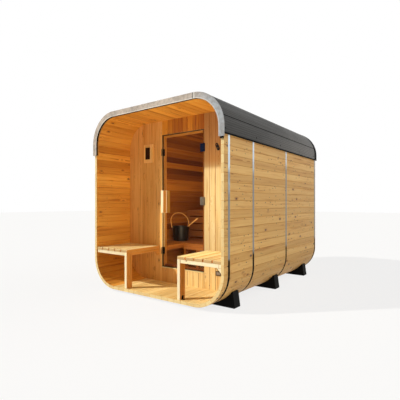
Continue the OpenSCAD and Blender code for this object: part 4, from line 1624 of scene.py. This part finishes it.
        # the grip's right-hand side takes bench_side_painted_shade as painted shade, its faces towards the porch
        # the pale copy as painted light
        surface.paint(2, (high[0] - 0.014, -FAR, low[2] + 0.004), (FAR, glass_low[1], high[2] - 0.004), (1, 0, 0))
        surface.paint(3, high=(FAR, glass_low[1], FAR), way=(0, -1, 0))
        surface.build("handle_blocks", [looks.bench, looks.pale_ends, looks.shaded, looks.sunlit_fronts], Body.DOOR,
                      "bench_wood", ("door_handle",))

    def hinges(self, looks: Finishes) -> None:
        """Build the plates, knuckles, pins and screws of the three hinges."""
        low, high = edges_of("hinge_plates")
        axis_x = low[0] + self.knuckle_r
        axis_y = low[1] + self.knuckle_r
        glass_low, glass_high = edges_of("door_glass")
        wall_y = edges_of("porch_wall_right")[0][1]
        h = self.hinge_h
        centres = np.array([low[2] + h / 2, (low[2] + high[2]) / 2, high[2] - h / 2])
        wide, ease = self.clamp_w, self.knuckle_ease

        def block(x: tuple[float, float], y: tuple[float, float], dz: tuple[float, float]) -> list[np.ndarray]:
            """Return the corners of one box at every hinge."""
            return [np.array([(x[i], y[i], z + dz[i]) for z in centres]) for i in (0, 1)]

        def bar(surface: Surface, start: float, height: float) -> None:
            """Add a round knuckle with eased ends at every hinge, from start up."""
            r = self.knuckle_r
            shape = [(r - ease, 0.0), (r, ease), (r, height - ease), (r - ease, height)]
            turned(surface, shape, [(axis_x, axis_y, z + start) for z in centres], 24)

        knuckle = 0.3 * h
        fixed = timbers(Surface(), *block((axis_x + 0.009, axis_x + 0.019), (wall_y - 0.005, wall_y),
                                          (-h / 2, h / 2)), Axis.Z, 0.0015, 0)
        for start in (-h / 2, h / 2 - knuckle):
            timbers(fixed, *block((axis_x, axis_x + 0.012), (axis_y, wall_y - 0.001), (start, start + knuckle)),
                    Axis.Z, 0.001, 0)
            bar(fixed, start, knuckle)
        pin = [(self.pin_r, 0.0), (self.pin_r, h)]
        turned(fixed, pin, [(axis_x, axis_y, z - h / 2) for z in centres], 20)
        screws = [[axis_x + 0.014, wall_y - 0.005, z + d] for z in centres for d in (-0.034, 0.0, 0.034)]
        screw_heads(fixed, screws, (0, -1, 0), 0.0036)
        # the top hinge takes the blue finish, a painted sky reflection
        fixed.paint(1, low=(-FAR, -FAR, centres[2] - h))
        fixed.build("hinge_wall_leaves", [looks.hinge, looks.blue], slot="hinge_steel",
                    replaces=("hinge_plates",), smooth=35)
        front, back = glass_low[1], glass_high[1]
        leaf = timbers(Surface(), *block((axis_x - wide, axis_x - 0.009), (front - 0.007, front), (-h / 2, h / 2)),
                       Axis.Z, 0.0018, 0)
        middle = 0.4 * h - 0.004
        timbers(leaf, *block((axis_x - 0.012, axis_x - 0.003), (axis_y, front - 0.002), (-middle / 2, middle / 2)),
                Axis.Z, 0.001, 0)
        bar(leaf, -middle / 2, middle)
        timbers(leaf, *block((axis_x - wide, axis_x - 0.025), (back, back + 0.003), (-h / 2, h / 2)),
                Axis.Z, 0.0012, 0)
        screws = [[axis_x - 0.042, front - 0.007, z + d] for z in centres for d in (-0.028, 0.028)]
        screw_heads(leaf, screws, (0, -1, 0), 0.0055)
        # the top hinge takes the blue finish, a painted sky reflection
        leaf.paint(1, low=(-FAR, -FAR, centres[2] - h))
        leaf.build("hinge_glass_leaves", [looks.hinge, looks.blue], Body.DOOR, "hinge_steel",
                   ("hinge_clamps",), smooth=35)

    def catches(self, looks: Finishes) -> None:
        """Build the black catch plates on the boards and their blocks behind the glass."""
        low, high = edges_of("jamb_catches")
        frame_low, _ = edges_of("door_frame")
        wall_y, h = low[1] + 0.005, self.catch_h
        foot = np.array([low[2], high[2] - h])
        surface = Surface()
        for x, y in (((low[0], frame_low[0]), (wall_y - 0.005, wall_y)),
                     ((frame_low[0] + 0.002, frame_low[0] + 0.032), (frame_low[1] - 0.003, frame_low[1]))):
            start = stacked(x[0], y[0], foot)
            timbers(surface, start, start + (x[1] - x[0], y[1] - y[0], h), Axis.Z, 0.001, 0)
        surface.build("catch_plates", [looks.black], slot="fitting_black", replaces=("jamb_catches",))

    def build(self, looks: Finishes) -> None:
        """Build everything about the door."""
        self.stop(looks)
        self.leaf(looks)
        self.handle(looks)
        self.hinges(looks)
        self.catches(looks)


# ---------- fittings ----------


@dataclass
class WallFittings:
    """Control panel in its wooden surround, slanted oval plate and floor vent."""

    oval_tilt: float = 25.0
    oval_half: float = 0.029
    oval_r: float = 0.020
    eyes: tuple[float, float] = (0.027, -0.017)
    vent_rim: float = 0.010
    slat_pitch: float = 0.0118
    slat_h: float = 0.0080

    def panel(self, looks: Finishes) -> None:
        """Build the surround of four strips and the dark glass panel."""
        low, high = edges_of("panel_surround")
        p_low, p_high = edges_of("control_panel")
        border(Surface(), low, high, p_low, p_high, 0.002).build(
            "panel_frame_strips", [looks.surround, looks.ends], slot="bench_wood", replaces=("panel_surround",))
        glass = timbers(Surface(), p_low, p_high, Axis.Z, 0.0025, 0)
        glass.build("panel_face", [looks.screen], slot="panel_glass", replaces=("control_panel",))

    def oval(self, looks: Finishes) -> None:
        """Build the slanted plate: a long oval dished between two eyes, each a raised ring round a hole.

        The long oval is two half circles a distance apart, turned by the tilt.
        """
        low, high = edges_of("oval_wall_plate")
        centre = (low + high) / 2
        tilt = math.radians(self.oval_tilt)
        along = np.array([-math.sin(tilt), math.cos(tilt)])
        aside = np.array([along[1], -along[0]])
        turn = np.linspace(0, 2 * np.pi, 48, endpoint=False)
        up = np.sin(turn)

        def row(radius: float, half: float, at: float, y: float) -> np.ndarray:
            """Return one long oval as points in the frame."""
            v = at + radius * up + np.sign(up) * half
            flat = centre[[0, 2]] + radius * np.cos(turn)[:, None] * aside + v[:, None] * along
            return upright(flat, y)

        y0, y1 = low[1], high[1]
        edge = ((self.oval_r - 0.0015, y0 + 0.0015), (self.oval_r, y0 + 0.003), (self.oval_r, y1))
        plate = np.stack([row(r, self.oval_half, 0, y) for r, y in edge])
        surface = Surface().loft(plate[None, :, ::-1])
        for at in self.eyes:
            eye = [(0.012, y0 + 0.002), (0.011, y0), (0.008, y0), (0.007, y0 + 0.0012)]
            rows = np.stack([row(r, 0.0, at, y) for r, y in eye])
            surface.loft(rows[None], cap=1)
        surface.build("oval_plate", [looks.black, looks.eye], slot="fitting_black",
                      replaces=("oval_wall_plate",), smooth=35)

    def vent(self, looks: Finishes) -> None:
        """Build the vent: a frame with three slats set back in it."""
        low, high = edges_of("floor_vent")
        w = self.vent_rim
        window(Surface(), low, high, w, 0.0015, 0).build(
            "vent_frame", [looks.rubber], slot="fitting_black", replaces=("floor_vent",))
        start = stacked(low[0] + w, low[1] + 0.003, low[2] + w + 0.004 + np.arange(3) * self.slat_pitch)
        size = (high[0] - low[0] - 2 * w, 0.003, self.slat_h)
        timbers(Surface(), start, start + size, Axis.X, 0.0008, 0).build(
            "vent_slats", [looks.zinc], slot="trim_zinc")

    def build(self, looks: Finishes) -> None:
        """Build the three fittings."""
        self.panel(looks)
        self.oval(looks)
        self.vent(looks)


@dataclass
class Bucket:
    """Water bucket with a wooden bail and a long-handled ladle."""

    turn: float = 63.0
    tilt: float = 24.0
    ladle_turn: float = 14.0
    ladle_lean: float = 52.0
    ladle_foot: tuple[float, float] = (0.058, 0.088)
    foot_r: float = 0.122
    rim_r: float = 0.142
    wall: float = 0.004
    height: float = 0.238
    bail_r: float = 0.007
    leg: float = 0.105
    ear_drop: float = 0.022

    def build(self, looks: Finishes) -> None:
        """Build the bucket, then the bail and the ladle."""
        low, high = edges_of("water_bucket")
        centre = np.array([(low[0] + high[0]) / 2, (low[1] + high[1]) / 2, low[2]])
        a, b, t, h = self.foot_r, self.rim_r, self.wall, self.height
        profile = [(a - 0.004, 0.0), (a, 0.004), (a + 0.001, 0.012), (a + 0.0015, 0.016), (b - 0.003, h - 0.030),
                   (b - 0.0005, h - 0.012), (b, h - 0.006), (b, h - 0.002), (b - 0.001, h), (b - t + 0.001, h),
                   (b - t, h - 0.002), (a - t, t)]
        surface = turned(Surface(), profile, centre, 72)
        angle = math.radians(self.turn)
        side = np.array([math.cos(angle), math.sin(angle), 0.0])
        ear = [(0.012, 0.0), (0.012, 0.007), (0.010, 0.009), (0.003, 0.0095)]
        for s in (-1, 1):
            at = centre + s * side * (b - 0.001) + UP * (h - self.ear_drop)
            turned(surface, ear, at, 20, basis(s * side))
        surface.build("bucket_body", [looks.bucket], slot="bucket_metal", replaces=("water_bucket",), smooth=35)
        arch = self.rim_r + 0.008 + self.bail_r
        sweep = np.radians(np.linspace(0, 180, 41))
        curve = np.stack([arch * np.cos(sweep), self.leg + arch * np.sin(sweep)], -1)
        legs = np.linspace(0, self.leg, 5)[:-1]
        right = stacked(arch, legs)
        path = np.concatenate([right, curve, right[::-1] * (-1, 1)])
        tilt = math.radians(self.tilt)
        rise = UP * math.cos(tilt) - np.cross(side, UP) * math.sin(tilt)
        points = centre + UP * (h - self.ear_drop) + path[:, :1] * side + path[:, 1:] * rise
        across = np.cross(side, rise)
        wood = tube(Surface(), points, self.bail_r, across)
        lean = math.radians(self.ladle_lean)
        way_turn = math.radians(self.ladle_turn)
        flat = np.array([math.cos(way_turn), math.sin(way_turn), 0.0])
        start = centre - flat * self.ladle_foot[0] + UP * self.ladle_foot[1]
        way = flat * math.sin(lean) + UP * math.cos(lean)
        stick = [(0.0065, 0.0), (0.0085, 0.004), (0.0095, 0.30), (0.0125, 0.43), (0.0115, 0.455), (0.008, 0.46)]
        turned(wood, stick, start, 16, basis(way))
        cup = [(0.028, -0.020), (0.033, -0.014), (0.034, 0.014), (0.031, 0.014), (0.029, -0.012)]
        turned(wood, cup, start, 28, basis(way))
        wood.build("bail_and_ladle_rods", [looks.surround], slot="bench_wood",
                   replaces=("bail_and_ladle",), smooth=40)


# ---------- studio ----------


@dataclass
class Studio:
    """Camera, soft light from the front left, pale floor and white surround."""

    lens: float = 31.054
    place: Triple = (2.924, -4.2916, 1.140)
    turn: float = 35.78
    shift: tuple[float, float] = (-0.0174, 0.0070)
    key_turn: float = 46.1
    key_height: float = 37.5
    key_width: float = 1.6
    key_power: float = 3.45
    side_turn: float = -132.0
    side_height: float = 38.0
    side_width: float = 60.0
    side_power: float = 1.3
    sky: float = 0.14
    glow: float = 11.5
    bounce: float = 6.6
    key_colour: Triple = (1.0, 0.99, 0.95)
    warm: Triple = (1.0, 0.955, 0.88)
    bounce_colour: Triple = (1.0, 0.93, 0.70)
    sensor: float = 36.0
    reach: float = 200.0
    fill_turn: float = 20.0
    fill_back: float = 0.16
    fill_margin: float = 0.1
    bounce_turn: tuple[float, float] = (92.0, 88.0)
    bounce_place: Triple = (0.80, -0.50, 1.26)
    bounce_size: tuple[float, float] = (0.7, 0.9)
    floor_half: float = 40.0
    floor_z: float = -0.0005
    floor_glow: float = 0.8

    def camera(self) -> None:
        """Set up the camera."""
        data = bpy.data.cameras.new("view")
        data.lens, data.sensor_width = self.lens, self.sensor
        data.shift_x, data.shift_y = self.shift
        data.clip_end = self.reach
        made = bpy.data.objects.new("view", data)
        made.location = self.place
        made.rotation_euler = (math.pi / 2, 0.0, math.radians(self.turn))
        bpy.context.scene.collection.objects.link(made)
        bpy.context.scene.camera = made

    def lamp(self, name: str, kind: str, power: float, turn: Triple, colour: Triple) -> bpy.types.Object:
        """Add a lamp of some kind, power and colour, turned this way, and return it."""
        data = bpy.data.lights.new(name, kind)
        data.energy, data.color = power, colour
        made = bpy.data.objects.new(name, data)
        made.rotation_euler = turn
        bpy.context.scene.collection.objects.link(made)
        return made

    def sun(self, name: str, power: float, turn: float, height: float, width: float,
            colour: Triple) -> None:
        """Hang a distant lamp.

        Args:
            name: of the lamp.
            power: its strength.
            turn: degrees from the front towards the left that it stands at.
            height: degrees above the ground.
            width: degrees that it is wide.
            colour: of its light.
        """
        made = self.lamp(name, "SUN", power, (math.radians(90 - height), 0.0, -math.radians(turn)), colour)
        made.data.angle = math.radians(width)

    def lamps(self) -> None:
        """Hang the two distant lamps, then a soft one behind the door and one at the right of the porch."""
        self.sun("key", self.key_power, self.key_turn, self.key_height, self.key_width, self.key_colour)
        self.sun("side", self.side_power, self.side_turn, self.side_height, self.side_width, self.warm)
        low, high = edges_of("door_frame")
        middle, size = (low + high) / 2, high - low - self.fill_margin
        self.panel("cabin_fill", self.glow, (math.pi / 2, 0.0, math.radians(self.fill_turn)),
                   (middle[0], high[1] + self.fill_back, middle[2]), (size[0], size[2]), self.warm)
        x, y, z = self.bounce_place
        wall_y = edges_of("porch_wall_right")[0][1]
        lean, way = np.radians(self.bounce_turn)
        self.panel("porch_bounce", self.bounce, (lean, 0.0, way), (x, wall_y + y, z), self.bounce_size,
                   self.bounce_colour)

    def panel(self, name: str, power: float, turn: Triple, place: Triple,
              size: tuple[float, float], colour: Triple) -> None:
        """Hang an upright soft lamp that is not seen itself.

        Args:
            name: of the lamp.
            power: its strength.
            turn: as for a camera looking where the light goes.
            place: its middle.
            size: its width and height.
            colour: of its light.
        """
        made = self.lamp(name, "AREA", power, turn, colour)
        made.data.shape = "RECTANGLE"
        made.data.size, made.data.size_y = size
        made.location = place
        made.visible_camera = made.visible_transmission = False

    def surround(self) -> None:
        """Make the world white to the eye and to reflections, and a plain soft light to the rest."""
        g = Graph("surround", world=True)
        strength = g.node("MapRange", {"Value": g.seen(), "To Min": self.sky, "To Max": 1.0}).outputs[0]
        bpy.context.scene.world = g.finish(g.node("Background", {"Color": WHITE, "Strength": strength}))

    def floor(self) -> None:
        """Lay a pale floor that stays white to the eye and keeps a soft shadow."""
        mesh = bpy.data.meshes.new("studio_floor")
        corners = [(x * self.floor_half, y * self.floor_half, self.floor_z)
                   for x, y in ((-1, -1), (1, -1), (1, 1), (-1, 1))]
        mesh.from_pydata(corners, [], [(0, 1, 2, 3)])
        g = Graph("studio_floor")
        share = g.math("MULTIPLY", g.seen(), self.floor_glow)
        matt = g.node("BsdfDiffuse", {"Color": (0.74, 0.72, 0.69, 1.0)})
        glow = g.node("Emission", {"Color": WHITE, "Strength": 1.0})
        mix = g.node("MixShader", {0: share, 1: matt.outputs[0], 2: glow.outputs[0]})
        mesh.materials.append(g.finish(mix))
        ground = bpy.data.objects.new("studio_floor", mesh)
        bpy.context.scene.collection.objects.link(ground)

    def build(self) -> None:
        """Build camera, light, surround and floor."""
        self.camera()
        self.lamps()
        self.surround()
        self.floor()
        bpy.context.scene.view_settings.view_transform = "Standard"


def main() -> None:
    """Build the sauna piece by piece."""
    logging.basicConfig(level=logging.INFO, format="%(name)s %(message)s")
    Studio().build()
    looks = Finishes()
    outline = Outline.measured()
    StaveShell(outline).build(looks)
    BoardWall(outline).build_all(looks)
    Roof(outline).build(looks)
    EdgeTrims(outline).build(looks)
    Hoops(outline).build(looks)
    Cradles(outline).build(looks)
    for side in (-1, 1):
        PorchBench(side).build(looks)
    CabinBenches().build(looks)
    Door().build(looks)
    WallFittings().build(looks)
    Bucket().build(looks)


if __name__ == "__main__":
    main()
